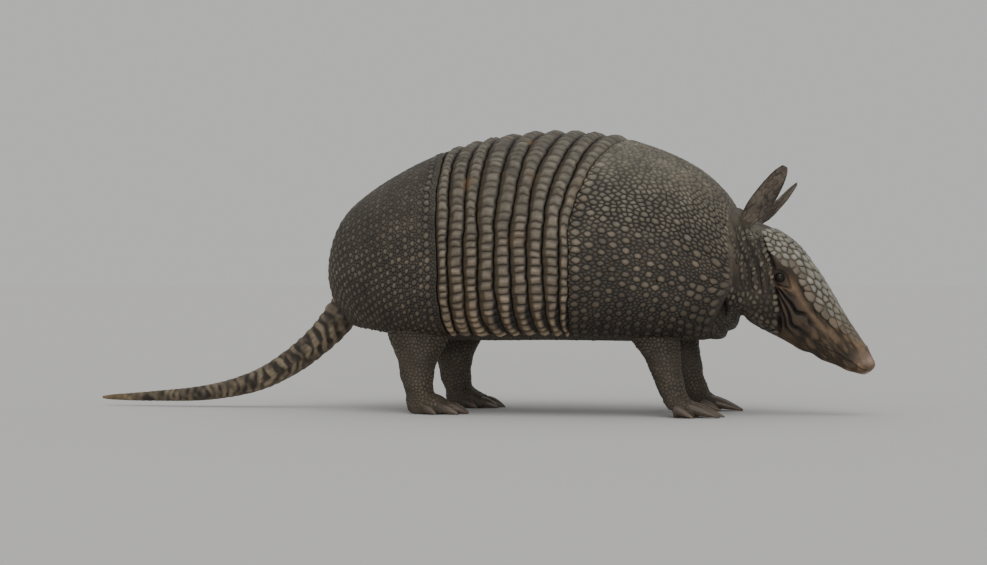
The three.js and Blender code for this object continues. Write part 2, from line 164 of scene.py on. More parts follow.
def make_mesh(name, points, faces, tint=None, flat_map=None):
    """A mesh object from points in millimetres, with its colours and its bake map by point."""
    mesh = bpy.data.meshes.new(name)
    corners = np.concatenate([np.asarray(f, np.int32) for f in faces])
    counts = np.array([len(f) for f in faces], np.int32)
    mesh.vertices.add(len(points))
    mesh.vertices.foreach_set("co", ((np.asarray(points) + SHIFT) * MM).astype(np.float32).ravel())
    mesh.loops.add(len(corners))
    mesh.loops.foreach_set("vertex_index", corners)
    mesh.polygons.add(len(counts))
    starts = np.concatenate([[0], np.cumsum(counts)[:-1]]).astype(np.int32)
    mesh.polygons.foreach_set("loop_start", starts)
    mesh.update(calc_edges=True)
    mesh.validate()
    if tint is not None:
        paint(mesh, tint)
    if flat_map is not None:
        layer = mesh.uv_layers.new(name="OFBake")
        at = np.empty(len(mesh.loops), np.int32)
        mesh.loops.foreach_get("vertex_index", at)
        layer.uv.foreach_set("vector", np.asarray(flat_map, np.float32)[at].ravel())
    mesh.shade_smooth()
    thing = bpy.data.objects.new(name, mesh)
    bpy.context.scene.collection.objects.link(thing)
    return thing


def paint(mesh, tint):
    colours = np.ones((len(mesh.vertices), 4), np.float32)
    colours[:, :3] = tint
    layer = mesh.attributes.new("tint", "FLOAT_COLOR", "POINT")
    layer.data.foreach_set("color", colours.ravel())


def rgb(code):
    """A linear colour from its sRGB code."""
    channels = np.array([code >> 16 & 255, code >> 8 & 255, code & 255]) / 255
    return np.where(channels <= 0.04045, channels / 12.92, ((channels + 0.055) / 1.055) ** 2.4)


WAVES = 9


def waves(points, size, seed):
    """A smooth random value from -1 to 1 at each point, with lumps of about this size."""
    dice = np.random.default_rng(seed)
    total = np.zeros(len(points))
    for _ in range(WAVES):
        way = unit(dice.normal(size=3)) * (2 * math.pi / (size * dice.uniform(1.4, 2.6)))
        total += np.sin(np.asarray(points) @ way + dice.uniform(0, 2 * math.pi))
    return np.clip(total / (0.4 * WAVES), -1, 1)


# ---------------------------------------------------------------- scutes

SCUTE_RINGS = {  # from a scute's groove to its top: share of its radius, and share of its height
    "large": ((0.86, 0.42), (0.62, 0.86), (0.3, 1.0)),
    "medium": ((0.82, 0.42), (0.56, 0.86)),
    "small": ((0.66, 0.8),),
}


def clip_polygon(polygon, normal, offset):
    """The part of a polygon where normal . point <= offset."""
    kept = []
    sides = [normal[0] * x + normal[1] * y - offset for x, y in polygon]
    for i, (point, side) in enumerate(zip(polygon, sides)):
        before, before_side = polygon[i - 1], sides[i - 1]
        if (side > 0) != (before_side > 0):
            share = before_side / (before_side - side)
            kept.append((mix(before[0], point[0], share), mix(before[1], point[1], share)))
        if side <= 0:
            kept.append(point)
    return kept


SEED_SPAN = 12  # of the squares in which seeds are looked up


class Grid:
    """Finds the points near a place on the flat."""

    def __init__(self, size):
        self.size = size
        self.cells = {}

    def key(self, x, y):
        return int(math.floor(x / self.size)), int(math.floor(y / self.size))

    def add(self, item, x, y):
        self.cells.setdefault(self.key(x, y), []).append(item)

    def near(self, x, y, span=1):
        i, j = self.key(x, y)
        for di in range(-span, span + 1):
            for dj in range(-span, span + 1):
                yield from self.cells.get((i + di, j + dj), ())


def scute_cells(seeds, low, high):
    """The polygon round each seed (x, y, weight) in a rectangle: heavier seeds get more room."""
    grid = Grid(SEED_SPAN)
    for i, (x, y, _) in enumerate(seeds):
        grid.add(i, x, y)
    whole = [(low[0], low[1]), (high[0], low[1]), (high[0], high[1]), (low[0], high[1])]
    cells = []
    for i, (x, y, weight) in enumerate(seeds):
        reach_out = 1 + int(2.5 * math.sqrt(weight) / SEED_SPAN)  # heavier seeds look further
        around = [(math.hypot(seeds[j][0] - x, seeds[j][1] - y), j)
                  for j in grid.near(x, y, reach_out) if j != i]
        polygon = whole
        for distance, j in sorted(around):
            farthest = max(math.hypot(px - x, py - y) for px, py in polygon)
            if distance > 2.4 * farthest:
                break
            other = seeds[j]
            normal = (other[0] - x, other[1] - y)
            middle = (distance**2 + weight - other[2]) / 2
            polygon = clip_polygon(polygon, normal, middle + normal[0] * x + normal[1] * y)
            if len(polygon) < 3:
                break
        cells.append(polygon)
    return cells


# Up a scute's dome its colour runs from the groove's to its own, so its top is lighter: partly the scute's
# colour, partly a painted highlight.
SOFTNESS = 1.7  # how much a scute's light colour keeps to its middle
ROUNDING = 0.45  # how much rounder than its polygon a scute's top is


class PlateBuilder:
    """
    Turns scutes' polygons into one closed plate. Points are kept on the flat with their height. Edges are
    divided at this length, as it is in space: scale(x) gives real millimetres to one on the flat.
    """

    def __init__(self, edge, scale):
        self.edge, self.scale = edge, scale
        self.shared = {}
        self.flat = []
        self.height = []
        self.tint = []
        self.faces = []
        self.outlines = []

    def point(self, x, y, height, tint):
        self.flat.append((x, y))
        self.height.append(height)
        self.tint.append(tint)
        return len(self.flat) - 1

    def groove_point(self, x, y, height, tint):
        key = (round(x * 500), round(y * 500))
        if key not in self.shared:
            self.shared[key] = self.point(x, y, height, tint)
        return self.shared[key]

    def outline(self, polygon, height, tint):
        """The polygon's points in the groove, with its long edges divided."""
        found = []
        for i, end in enumerate(polygon):
            start = polygon[i - 1]
            a, b = sorted([start, end])
            length = math.hypot(b[0] - a[0], b[1] - a[1]) * float(self.scale(a[0]))
            parts = max(1, int(length / self.edge + 0.5))
            steps = [self.groove_point(*mix(np.array(a), np.array(b), k / parts), height, tint)
                     for k in range(parts + 1)]
            if start != a:
                steps.reverse()
            found += steps
        return [p for i, p in enumerate(found) if p != found[i - 1]]

    def add(self, polygon, kind, height, tint, groove, groove_tint):
        outline = self.outline(polygon, groove, groove_tint)
        if len(set(outline)) < 3:
            return
        flat = np.array([self.flat[i] for i in outline])
        centre = flat.mean(0)
        arms = flat - centre
        length = np.linalg.norm(arms, axis=1, keepdims=True)
        rounded = arms * mix(1, length.mean() / np.maximum(length, 1e-6), ROUNDING)
        last = outline
        for share, rise in SCUTE_RINGS[kind]:
            places = centre + mix(arms, rounded, 1 - share * 0.5) * share
            level, colour = mix(groove, height, rise), mix(groove_tint, tint, rise**SOFTNESS)
            ring = [self.point(x, y, level, colour) for x, y in places]
            self.faces += [(last[i - 1], last[i], ring[i], ring[i - 1]) for i in range(len(last))]
            last = ring
        top = self.point(*centre, height, tint)
        self.faces += [(last[i - 1], last[i], top) for i in range(len(last))]
        self.outlines.append(outline)

    def finish(self, name, place, depth, flat_map):
        """place(x, y, height) gives a point in space. The plate's inner side lies at this depth."""
        count = len(self.flat)
        used = sorted(set(i for outline in self.outlines for i in outline))
        below = {i: count + k for k, i in enumerate(used)}
        edges = {}
        for outline in self.outlines:
            self.faces.append(tuple(below[i] for i in reversed(outline)))
            for edge in zip([outline[-1], *outline], outline):
                key = tuple(sorted(edge))
                edges[key] = None if key in edges else edge
        self.faces += [(b, a, below[a], below[b]) for a, b in filter(None, edges.values())]
        flat = np.array(self.flat + [self.flat[i] for i in used])
        height = np.array(self.height + [-depth] * len(used))
        tint = np.array(self.tint + [self.tint[i] for i in used])
        points = place(flat[:, 0], flat[:, 1], height)
        inner = np.arange(len(flat)) >= count
        return make_mesh(name, points, self.faces, tint, flat_map(flat, inner))


# ---------------------------------------------------------------- the shell, laid out flat

ANGLES = np.linspace(-RIM_ANGLE, RIM_ANGLE, 361)
TURN = np.abs(ANGLES)
BELOW_FLANK = np.clip((TURN - math.pi / 2) / (RIM_ANGLE - math.pi / 2), 0, 1)  # to 1 at the rim
BORDER_WANDER = ((0.5, 17, 300), (0.3, 6, 301))  # of borders: height, size and seed of their waves
BISECTIONS = 24
NAPE_HOLLOW = 1  # how many rings the shoulder shield's front edge lies back on the nape
CHIN_HOLLOW = (1.25, 1.4)  # the same at the rim, and how late that starts


def border_rings(ridge_x, flank_x, swing, power):
    """The ring on which a border lies, at each of ANGLES. swing is how far forward it runs at the rim."""
    upper = mix(flank_x, ridge_x, np.cos(TURN) ** 2)
    x = np.where(TURN < math.pi / 2, upper, flank_x + swing * BELOW_FLANK**power)
    rear, front = np.zeros_like(x), np.full_like(x, THROAT_RING)
    for _ in range(BISECTIONS):
        middle = (rear + front) / 2
        behind = ring_points(TRUNK_RINGS, TRUNK_SHAPE, middle, ANGLES)[:, 0] < x
        rear, front = np.where(behind, middle, rear), np.where(behind, front, middle)
    return (rear + front) / 2


def band_border(i):
    starts = [first + sum(widths[:i]) for first, widths in (RIDGE_BORDERS, FLANK_BORDERS)]
    rings = border_rings(*starts, RIM_SWINGS[i], mix(*SWING_POWERS, smooth(0, 3, i)))
    place = np.stack([ANGLES * 80, np.full_like(ANGLES, 40 * i), 0 * ANGLES], -1)
    return rings + sum(high * waves(place, size, seed) for high, size, seed in BORDER_WANDER) / RING_SPACING


def shield_front():
    """The shoulder shield's front edge: hollow over the nape, furthest forward on the flanks."""
    upper = THROAT_RING - NAPE_HOLLOW * np.cos(TURN) ** 2
    depth, power = CHIN_HOLLOW
    return np.where(TURN < math.pi / 2, upper, THROAT_RING - depth * BELOW_FLANK**power)


CHART_STEPS = 80  # along a piece of shell


class ShellChart:
    """
    A piece of shell laid out flat. x runs from the rear to the front border and y round the body, both in
    millimetres at the reference border, and small shapes keep their form, but for getting longer by stretch.
    """

    def __init__(self, rear, front, reference, stretch):
        self.rear, self.front = rear, front
        self.shares = np.linspace(0, 1, CHART_STEPS + 1)
        points = trunk_surface(mix(rear, front, self.shares[:, None]), ANGLES[None, :])
        round_steps = np.linalg.norm(np.diff(points, axis=1), axis=2)
        long_steps = np.linalg.norm(np.diff(points, axis=0), axis=2).mean(1)
        girth = round_steps.sum(1)
        at = int(reference * CHART_STEPS)
        self.half = girth[at] / 2
        middle = round_steps[CHART_STEPS // 4:3 * CHART_STEPS // 4 + 1].mean(0)
        self.y_table = np.concatenate([[0], np.cumsum(middle)])
        self.y_table = self.y_table / self.y_table[-1] * 2 * self.half - self.half
        self.scale_table = girth / girth[at]
        steps = long_steps / (self.scale_table[1:] + self.scale_table[:-1]) * 2 / stretch
        self.x_table = np.concatenate([[0], np.cumsum(steps)])
        self.length = self.x_table[-1]

    def scale(self, x):
        """Real millimetres to one millimetre on the flat."""
        return np.interp(x, self.x_table, self.scale_table)

    def place(self, x, y, height=0.0):
        angle = np.interp(y, self.y_table, ANGLES)
        rear = np.interp(angle, ANGLES, self.rear)
        front = np.interp(angle, ANGLES, self.front)
        return trunk_surface(mix(rear, front, np.interp(x, self.x_table, self.shares)), angle, height)

    def flat_map(self, flat, inner):
        """The bake map: the outer side over most of it, and the inner side in a strip beside that."""
        u = flat[:, 0] / self.length
        v = (flat[:, 1] + self.half) / (2 * self.half)
        return np.stack([np.where(inner, 0.9 + 0.1 * u, 0.88 * u), v], 1)


BORDERS = [band_border(i) for i in range(BANDS + 1)]

ROSETTE = 9  # small scutes round a large one
TRIES = 6  # places tried for each small scute


def fill_between(chart, seeds, about, size, dice):
    """
    Adds small seeds between the large ones: first in a ring round each of about (x, y, ring's radius), and
    then where there's room. size(y) is a small scute's width.
    """
    grid = Grid(SEED_SPAN)
    for i, (x, y, _) in enumerate(seeds):
        grid.add(i, x, y)
    tries = []
    for x, y, radius in about:
        turn = dice.uniform(0, math.pi)
        for angle in turn + full_turn(ROSETTE):
            tries.append((x + radius * math.cos(angle), y + radius * math.sin(angle)))
    count = int(chart.length * chart.half * 2 / size(chart.half) ** 2 * TRIES)
    spare = np.stack([dice.uniform(0, chart.length, count), dice.uniform(-chart.half, chart.half, count)], 1)
    large = len(seeds)
    for x, y in tries + spare.tolist():
        if not (0 < x < chart.length and abs(y) < chart.half):
            continue
        room = float(size(y) * 0.76 / chart.scale(x))

        def is_clear(j):
            least = room if j >= large else room * 0.5 + math.sqrt(seeds[j][2])
            return math.hypot(seeds[j][0] - x, seeds[j][1] - y) >= least

        if all(map(is_clear, grid.near(x, y))):
            grid.add(len(seeds), x, y)
            seeds.append((x, y, (0.26 * room) ** 2))


# ---------------------------------------------------------------- colours

GROOVE = rgb(0x17140F)
SCUTE_DARK = rgb(0x332D25)  # small scutes between the light ones, and the grooves up on the back
SCUTE_LOW = rgb(0x786C5C)
SCUTE_HIGH = rgb(0x7A7567)
SCUTE_OCHRE = rgb(0x8A6A45)
BAR_LOW = rgb(0x7D7161)
BAR_HIGH = rgb(0x7D776A)
BAR_GAP = rgb(0x332C22)
BAND_STRIP = rgb(0x493C2A)

# ---------------------------------------------------------------- shields

PLATE_EDGE = 1.6  # the usual length of an edge in a shield's grooves
PLATE_DEPTH = 3.4  # how far a plate's inner side lies under the outer face of the solid
BORDER_SPACING = 6.2  # of the row of scutes beside a band
PELVIC_COLUMN = 7.4  # from the first band to that row
PELVIC_SPACING = 5.7  # of the large scutes in a row
PELVIC_APART = 1.1  # how many spacings their rows lie apart
PELVIC_ROWS = (13.4, 1.5)  # from the first band to the first row, and the last row's x
PELVIC_SMALL = 2.35  # a small scute's width
SHOULDER_COLUMN = 3.4  # from the last band to the row beside it
SHOULDER_SPACING = 7.4
SHOULDER_APART = 0.81
SHOULDER_ROWS = (9.0, 3.5)  # the first row's x, and from the last row to the rim's
SHOULDER_SMALL = (3.4, 2.3)  # a small scute's width up on the back and on the flanks
RIM_SPACING = 3.4  # of the row along the shoulder shield's front edge
RIM_COLUMN = 1.5  # from that edge to it


def rows_of(chart, spacing, apart, start, end):
    """
    Staggered places on the flat in rows across the body: x, y, and the spacing as it is there. Rows lie
    this many spacings apart.
    """
    places = []
    x, row = start, 0
    while (end - x) * (end - start) > 0:
        step = spacing / chart.scale(x)
        count = max(6, int(round(2 * chart.half / step)))
        for k in range(count + 1 - row % 2):
            y = -chart.half + (k + 0.5 * (row % 2)) * 2 * chart.half / count
            places.append((x, y, step))
        x += math.copysign(step * apart, end - start)
        row += 1
    return places


def edge_column(chart, x, spacing, radius, dice):
    """Seeds in one row across the body, of slightly uneven spacing."""
    count = int(round(2 * chart.half / (spacing / chart.scale(x))))
    return [(x, -chart.half + (k + 0.5 + dice.normal(0, 0.05)) * 2 * chart.half / count, radius**2)
            for k in range(count)]


def shield_plate(name, chart, seeds, describe):
    """describe(places on the flat, places in space) gives each scute's kind, height, colour and groove."""
    cells = scute_cells(seeds, (0, -chart.half), (chart.length, chart.half))
    build = PlateBuilder(PLATE_EDGE, chart.scale)
    flat = np.array([(x, y) for x, y, _ in seeds])
    spots = chart.place(flat[:, 0], flat[:, 1])
    looks = describe(flat, spots)
    for polygon, look in zip(cells, looks):
        if len(polygon) >= 3:
            build.add(polygon, *look)
    return build.finish(name, chart.place, PLATE_DEPTH, chart.flat_map)


def up_the_back(spots):
    """From 0 on the flanks to 1 on the back."""
    return smooth(100, 192, spots[:, 2])


def worn(tint, spots):
    """Colours with a few worn ochre places, most of them on the back."""
    patches = waves(spots, 24, 5) * (0.5 + 0.5 * waves(spots, 10, 6))
    share = smooth(0.4, 0.95, patches) * mix(0.05, 0.42, up_the_back(spots)) * smooth(-60, 0, spots[:, 0])
    return mix(tint, SCUTE_OCHRE, share[:, None])


def scute_tint(light, spots, dice):
    """Colours of scutes from dark (0) to light (1), browner and darker towards the rim."""
    high = up_the_back(spots)[:, None]
    tint = mix(SCUTE_DARK * mix(0.9, 1.6, high), mix(SCUTE_LOW, SCUTE_HIGH, high), light[:, None])
    low = 1 - smooth(48, 118, spots[:, 2])[:, None]
    tint = tint * mix(1, np.array([0.6, 0.56, 0.5]), low)
    tint = tint * (1 + 0.14 * waves(spots, 22, 7) + 0.1 * waves(spots, 9, 8))[:, None]
    return worn(tint, spots) * dice.normal(1, 0.11, (len(spots), 1)).clip(0.7, 1.35)


def pelvic_shield():
    """A row of light scutes beside the first band, and large scutes in rosettes of small ones."""
    chart = ShellChart(np.zeros_like(ANGLES), BORDERS[0], 1.0, 0.95)
    dice = np.random.default_rng(21)
    edge = chart.length
    seeds = edge_column(chart, edge - PELVIC_COLUMN, BORDER_SPACING, 2.5, dice)
    column = len(seeds)
    about = [(x, y, 3.4) for x, y, _ in seeds]
    for x, y, step in rows_of(chart, PELVIC_SPACING, PELVIC_APART, edge - PELVIC_ROWS[0], PELVIC_ROWS[1]):
        x, y = np.array([x, y]) + dice.normal(0, 0.06, 2) * step
        seeds.append((x, y, (0.35 * step * dice.uniform(0.8, 1.15)) ** 2))
        about.append((x, y, 0.55 * step))
    large = len(seeds)
    fill_between(chart, seeds, about, lambda y: PELVIC_SMALL, dice)

    def describe(flat, spots):
        number = np.arange(len(flat))
        is_large = number < large
        fine = smooth(92, 172, spots[:, 2]) * (number >= column)
        light = np.where(is_large, mix(0.7, 0.36, fine), mix(0.28, 0.3, fine))
        light = light * mix(1, 0.7, up_the_back(spots) * (number < column))
        tint = scute_tint(light, spots, dice) * mix(1, 0.84, fine)[:, None]
        height = np.where(is_large, mix(0.8, 0.24, fine), mix(0.25, 0.16, fine))
        height = height * dice.uniform(0.85, 1.15, len(flat))
        groove = mix(-0.4, -0.12, fine)
        line = mix(GROOVE, SCUTE_DARK, 0.75 * fine[:, None])
        return zip(np.where(is_large, "medium", "small"), height, tint, groove, line)

    return shield_plate("pelvic_scutes", chart, seeds, describe)


def shoulder_shield():
    """Even pebbles up on the back, and light scutes among small dark ones on the flanks."""
    chart = ShellChart(BORDERS[BANDS], shield_front(), 0.0, 1.32)
    dice = np.random.default_rng(34)
    rim_x = chart.length - RIM_COLUMN / chart.scale(chart.length)
    seeds = edge_column(chart, rim_x, RIM_SPACING, 1.4, dice)
    rim = len(seeds)
    seeds += edge_column(chart, SHOULDER_COLUMN, BORDER_SPACING, 2.3, dice)
    about = [(x, y, 3.6) for x, y, _ in seeds[rim:]]
    start, end = SHOULDER_ROWS[0], rim_x - SHOULDER_ROWS[1]
    for x, y, step in rows_of(chart, SHOULDER_SPACING, SHOULDER_APART, start, end):
        low = smooth(0.4, 0.68, abs(y) / chart.half + dice.normal(0, 0.05))
        if dice.uniform() < low:
            ahead = smooth(0.4, 1.0, x / chart.length)
            x, y = np.array([x, y]) + dice.normal(0, 0.07, 2) * step
            seeds.append((x, y, (mix(0.26, 0.4, ahead) * step * dice.uniform(0.85, 1.12)) ** 2))
            about.append((x, y, 0.5 * step))
    large = len(seeds)

    def small_size(y):
        return mix(*SHOULDER_SMALL, smooth(0.42, 0.68, abs(y) / chart.half))

    fill_between(chart, seeds, about, small_size, dice)

    def describe(flat, spots):
        number = np.arange(len(flat))
        is_rim = number < rim
        is_large = (number < large) & ~is_rim
        low = smooth(0.42, 0.68, np.abs(flat[:, 1]) / chart.half)
        x, _, z = spots.T
        light = np.where(is_large, mix(0.55, 0.78, smooth(60, 120, z)), mix(0.7, 0.28, low))
        light = np.where(is_rim, 0.3, light)
        tint = scute_tint(light, spots, dice) * mix(0.68, 1.06, smooth(56, 122, z))[:, None]
        height = np.where(is_large, 1.0, mix(0.72, 0.35, low)) * dice.uniform(0.8, 1.2, len(flat))
        height = height * mix(1, 0.4, smooth(160, 192, z))
        height = np.where(is_rim, 0.35, height)
        groove = np.where(is_rim, 0.2, mix(-0.35, -0.5, low))
        line = mix(GROOVE, SCUTE_DARK * 1.6, smooth(150, 196, z)[:, None])
        worn_smooth = smooth(156, 190, z + 0.3 * (x - 110))[:, None]
        line = mix(line, tint * 0.72, 0.85 * worn_smooth)
        line[is_rim] = tint[is_rim] * 0.8
        kind = np.where(is_large, "large", np.where((low < 0.5) | is_rim, "medium", "small"))
        return zip(kind, height, tint, groove, line)

    return shield_plate("shoulder_scutes", chart, seeds, describe)


# ---------------------------------------------------------------- bands

BAND_STEPS = 22  # along the body
BAR_STEPS = 10  # round the body, to a bar
BAND_GROOVES = (-2.3, -1.5)  # the height where bands meet, on the ridge and on the flanks
BAND_CREST = 1.6
BAND_END = np.array([1.0, 0.93, 0.84])  # how the colours change down at the rim
BAR_DEPTH = 1.5  # of the grooves between bars
BAR_SPACINGS = (6.0, 7.1)  # in the rearmost and the foremost band


def bar_ends(length, spacing, dice):
    """Where the bars of a band of this length end, along it."""
    ends = [0.0]
    while ends[-1] < length:
        flank = abs(ends[-1] / length - 0.5) * 2
        ends.append(ends[-1] + spacing * mix(1.06, 0.95, flank) * dice.uniform(0.72, 1.3))
    return np.array(ends) * length / ends[-1]


class Band:
    """
    One movable band as a grid of points: rows run forward over it, and columns round the body, BAR_STEPS of
    them to a bar. a runs from 0 at the rear border to 1 at the front one. Other values have one entry to a
    column or to a point.
    """

    def __init__(self, i):
        dice = np.random.default_rng(50 + i)
        rear, front = BORDERS[i], BORDERS[i + 1]
        self.forward = i / (BANDS - 1)
        self.is_wedged = smooth(1, 3, i)
        probe = trunk_surface(mix(rear, front, 0.5), ANGLES)
        along = np.concatenate([[0], np.cumsum(np.linalg.norm(np.diff(probe, axis=0), axis=1))])
        girth = along[-1]
        ends = bar_ends(girth, mix(*BAR_SPACINGS, self.forward), dice)
        bars = len(ends) - 1
        step = np.arange(bars * BAR_STEPS + 1)
        bar = np.minimum(step // BAR_STEPS, bars - 1)
        inside = step / BAR_STEPS - bar
        length = mix(ends[bar], ends[bar + 1], inside - 0.05 * np.sin(4 * math.pi * inside))
        self.flank = np.abs(length / girth - 0.5) * 2
        self.pillow = 1 - np.abs(2 * inside - 1) ** 1.8

        even = np.linspace(0, 1, BAND_STEPS + 1)
        self.a = (even - 0.07 * np.sin(2 * math.pi * even))[:, None]
        across = (self.a - 0.5) * 2
        lean = dice.normal(0, 0.6, bars)[bar] * (1 - 0.5 * self.flank)
        peak = mix(2.3, 0.3, smooth(0.3, 0.8, self.flank)) * dice.uniform(0.4, 1.2, bars)[bar]
        bow = peak * np.sign(girth / 2 - length) * (0.5 - np.abs(across))
        place = (length + lean * across + bow).clip(0, girth)
        self.angle = np.interp(place, along, ANGLES)
        self.t = mix(np.interp(self.angle, ANGLES, rear), np.interp(self.angle, ANGLES, front), self.a)
        self.start = 0.24 + 0.04 * dice.normal(0, 1, bars)[bar]
        flat = np.stack(np.broadcast_arrays(self.a * 4, place, 0 * place), -1).reshape(-1, 3)
        self.streak = waves(flat, 1.5, 400 + i).reshape(place.shape)
        self.lift = dice.uniform(-0.3, 0.3, bars)[bar]
        self.tone = dice.normal(1, 0.13, bars).clip(0.7, 1.3)[bar]

    def height(self):
        """How far the points stand over the solids' shell: a roll that is cut into bars."""
        a, flank, pillow = self.a, self.flank, self.pillow
        is_bar = between(self.start, self.start + 0.14, 0.86, 0.97, a)
        on_ridge = 1 - smooth(0.0, 0.4, flank)
        roundness = mix(mix(0.5, 0.75, smooth(0.3, 0.9, flank)), 0.95, on_ridge)
        roll = np.sin(math.pi * a ** mix(1.3, 0.95, self.forward)) ** roundness
        height = mix(mix(*BAND_GROOVES, 1 - on_ridge), BAND_CREST, roll) + 0.12 * self.streak * roll
        depth = BAR_DEPTH * mix(0.95, 0.6, on_ridge)
        height += mix(0.35 * roll, 1, is_bar) * depth * (pillow - 1) + is_bar * self.lift * pillow
        wedge = smooth(0.45, 0.85, a) * smooth(0.82, 0.92, flank) * self.is_wedged
        return height - 1.4 * wedge * roll

    def tint(self, outer):
        """Light bars with a painted highlight on each bar's middle, a brown strip behind them, and dark seams
        where bands meet, with painted shade under the bands' edges.
        """
        a, flank, start = self.a, self.flank, self.start
        spots = outer.reshape(-1, 3)
        high = up_the_back(spots).reshape(self.angle.shape)[..., None]
        light = mix(BAR_LOW, BAR_HIGH, high) * self.tone[:, None] * (1 + 0.16 * self.streak)[..., None]
        # Each bar is painted light in its middle and dark at its sides, where the joints between bars lie:
        # painted highlight and shade over each bar's roll. The brown strip behind the bars is shaded the same
        # way.
        lit = smooth(0.15, 1.0, self.pillow) * between(start, start + 0.2, 0.8, 0.95, a)
        tint = mix(mix(BAR_GAP, BAR_LOW * 0.62, 0.85 * high), light, lit[..., None])
        brown = BAND_STRIP * ((1 + 0.2 * self.streak) * mix(0.6, 1.1, self.pillow))[..., None]
        tint = mix(tint, brown, 0.85 * (1 - smooth(start, start + 0.1, a))[..., None])
        # Where bands meet the seam is painted near black: a dark joint, darkened further as painted shade
        # under the band's edge. Down at the rim it widens into painted shadow wedges.
        wedge = smooth(0.8, 0.9, flank) * (1 - 0.7 * smooth(0.92, 1.0, flank)) * self.is_wedged
        seam = (smooth(0.86 - 0.34 * wedge, 0.97 - 0.2 * wedge, a) + 1 - smooth(0.02, 0.12, a)).clip(0, 1)
        tint = mix(tint, mix(GROOVE * 0.9, BAR_GAP, 0.6 * high), seam[..., None])
        # The bands are painted darker up on the back, as painted shade to even out the stronger light from
        # above, and lighter towards their lower ends.
        tint = tint * mix(1, 0.69, high) * (1 + 0.3 * smooth(0.8, 0.95, flank))[..., None]
        low = smooth(48, 110, outer[..., 2:])
        return worn((tint * mix(BAND_END, 1.0, low)).reshape(-1, 3), spots)


def band_plate(i):
    """One movable band: a rolled strip with a smooth brown rear part and a row of light bars."""
    band = Band(i)
    outer = trunk_surface(band.t, band.angle, band.height())
    inner = trunk_surface(band.t[[0, -1]], band.angle[[0, -1]], -PLATE_DEPTH)
    return grid_plate(f"band_{BANDS - i}_bars", outer, inner, band.tint(outer))


def grid_plate(name, outer, inner, tint):
    """A closed plate from a grid of outer points and the two end rows of its inner side."""
    rows, columns = outer.shape[:2]
    points = np.concatenate([outer.reshape(-1, 3), inner.reshape(-1, 3)])
    grid = np.arange(rows * columns).reshape(rows, columns)
    below = rows * columns + np.arange(2 * columns).reshape(2, columns)
    loop = np.concatenate([grid, below[::-1]])
    faces = []
    for near, far in zip(loop, np.roll(loop, -1, 0)):
        faces += zip(near[:-1], near[1:], far[1:], far[:-1])
    faces += [tuple(loop[:, 0]), tuple(loop[::-1, -1])]
    u = np.concatenate([np.linspace(0, 0.86, rows), [0.92, 1.0]])
    flat = np.stack(np.meshgrid(u, np.linspace(0, 1, columns), indexing="ij"), -1).reshape(-1, 2)
    full = np.concatenate([tint, np.tile(GROOVE, (2 * columns, 1))])
    return make_mesh(name, points, faces, full, flat)


# ---------------------------------------------------------------- flesh, as in the solids

NECK_RINGS = [(164, 139, 165, 61, 44), (176, 146, 178, 64.5, 44), (184, 146, 187, 69, 38)]
NECK_SHAPE = (0.5, 2.2, 2.2)
HEAD_RINGS = [
    (183.4, 142.5, 187, 68.5, 38),
    (200, 137.8, 195, 64.2, 32),
    (213, 131.5, 204, 59, 29.5),
    (226, 121.5, 214, 54, 27),
    (238, 105.5, 224, 48.5, 23.5),
    (249, 88.5, 235, 43.5, 19.5),
    (259, 72, 246, 38, 16),
    (268, 58.8, 256, 33.8, 13.3),
    (275.5, 47.8, 265, 30.6, 11.3),
    (279.8, 40.8, 272, 29.2, 8.8),
    (281.2, 36, 277.5, 31.5, 4),
]
HEAD_SHAPE = (0.52, 2.1, 2.3)
HIND_LEG = [  # z, x, y, half length, half width, for the right side
    (76, -43, 38, 27, 15),
    (60, -44.5, 40.5, 25, 14.5),
    (50, -45.6, 41.5, 20.5, 14),
    (38, -45.8, 43, 14.8, 13),
    (26, -45.4, 44.2, 12.2, 11.5),
    (15, -43.4, 45, 11, 10.5),
    (6, -41, 45.5, 9.5, 10),
]
FRONT_LEG = [
    (74, 120, 36, 24, 13),
    (58, 127.6, 38.5, 19.4, 13),
    (45, 133.4, 40.5, 14.4, 12),
    (32, 138, 42.5, 11.6, 10.5),
    (20, 142, 44, 10.3, 9.5),
    (13, 145, 44.8, 10, 9.2),
    (5, 149, 45.3, 8.5, 8.5),
]
HIND_FOOT = [  # x, sole z, top z, half width
    (-52.5, 8, 13, 5),
    (-49.5, 2.2, 15, 9),
    (-44, 0, 17, 11.5),
    (-33, 0, 15, 13),
    (-22, 0, 8.5, 13),
]
FRONT_FOOT = [
    (136.5, 11, 15, 5),
    (142, 7, 17, 9),
    (149, 2.6, 16.5, 11.5),
    (155, 0, 12.5, 12.5),
    (161, 0, 8.5, 12.5),
]
FOOT_Y = 46
HIND_TOES = [  # root and claw tip on the floor, radius and claw length, from the outer to the inner
    ((-35, 57), (-26, 62.5), 4.2, 8),
    ((-25, 54), (-10.5, 58), 4.6, 12),
    ((-23, 46), (-6.5, 46.5), 4.9, 13),
    ((-24, 38), (-9, 35.5), 4.6, 12),
    ((-34, 35), (-24, 29.5), 4, 8),
]
FRONT_TOES = [
    ((148, 57), (160.5, 61.5), 4.1, 11),
    ((158, 52), (178, 54), 4.8, 20),
    ((158.5, 42.5), (179.5, 42), 4.8, 21),
    ((151, 36), (165, 32.5), 4.1, 12),
]
LIMBS = {  # leg, foot, toes, and how much further forward the left one stands
    "hind": (HIND_LEG, HIND_FOOT, HIND_TOES, 3.5),
    "front": (FRONT_LEG, FRONT_FOOT, FRONT_TOES, -0.5),
}
SIDES = {"right": -1, "left": 1}
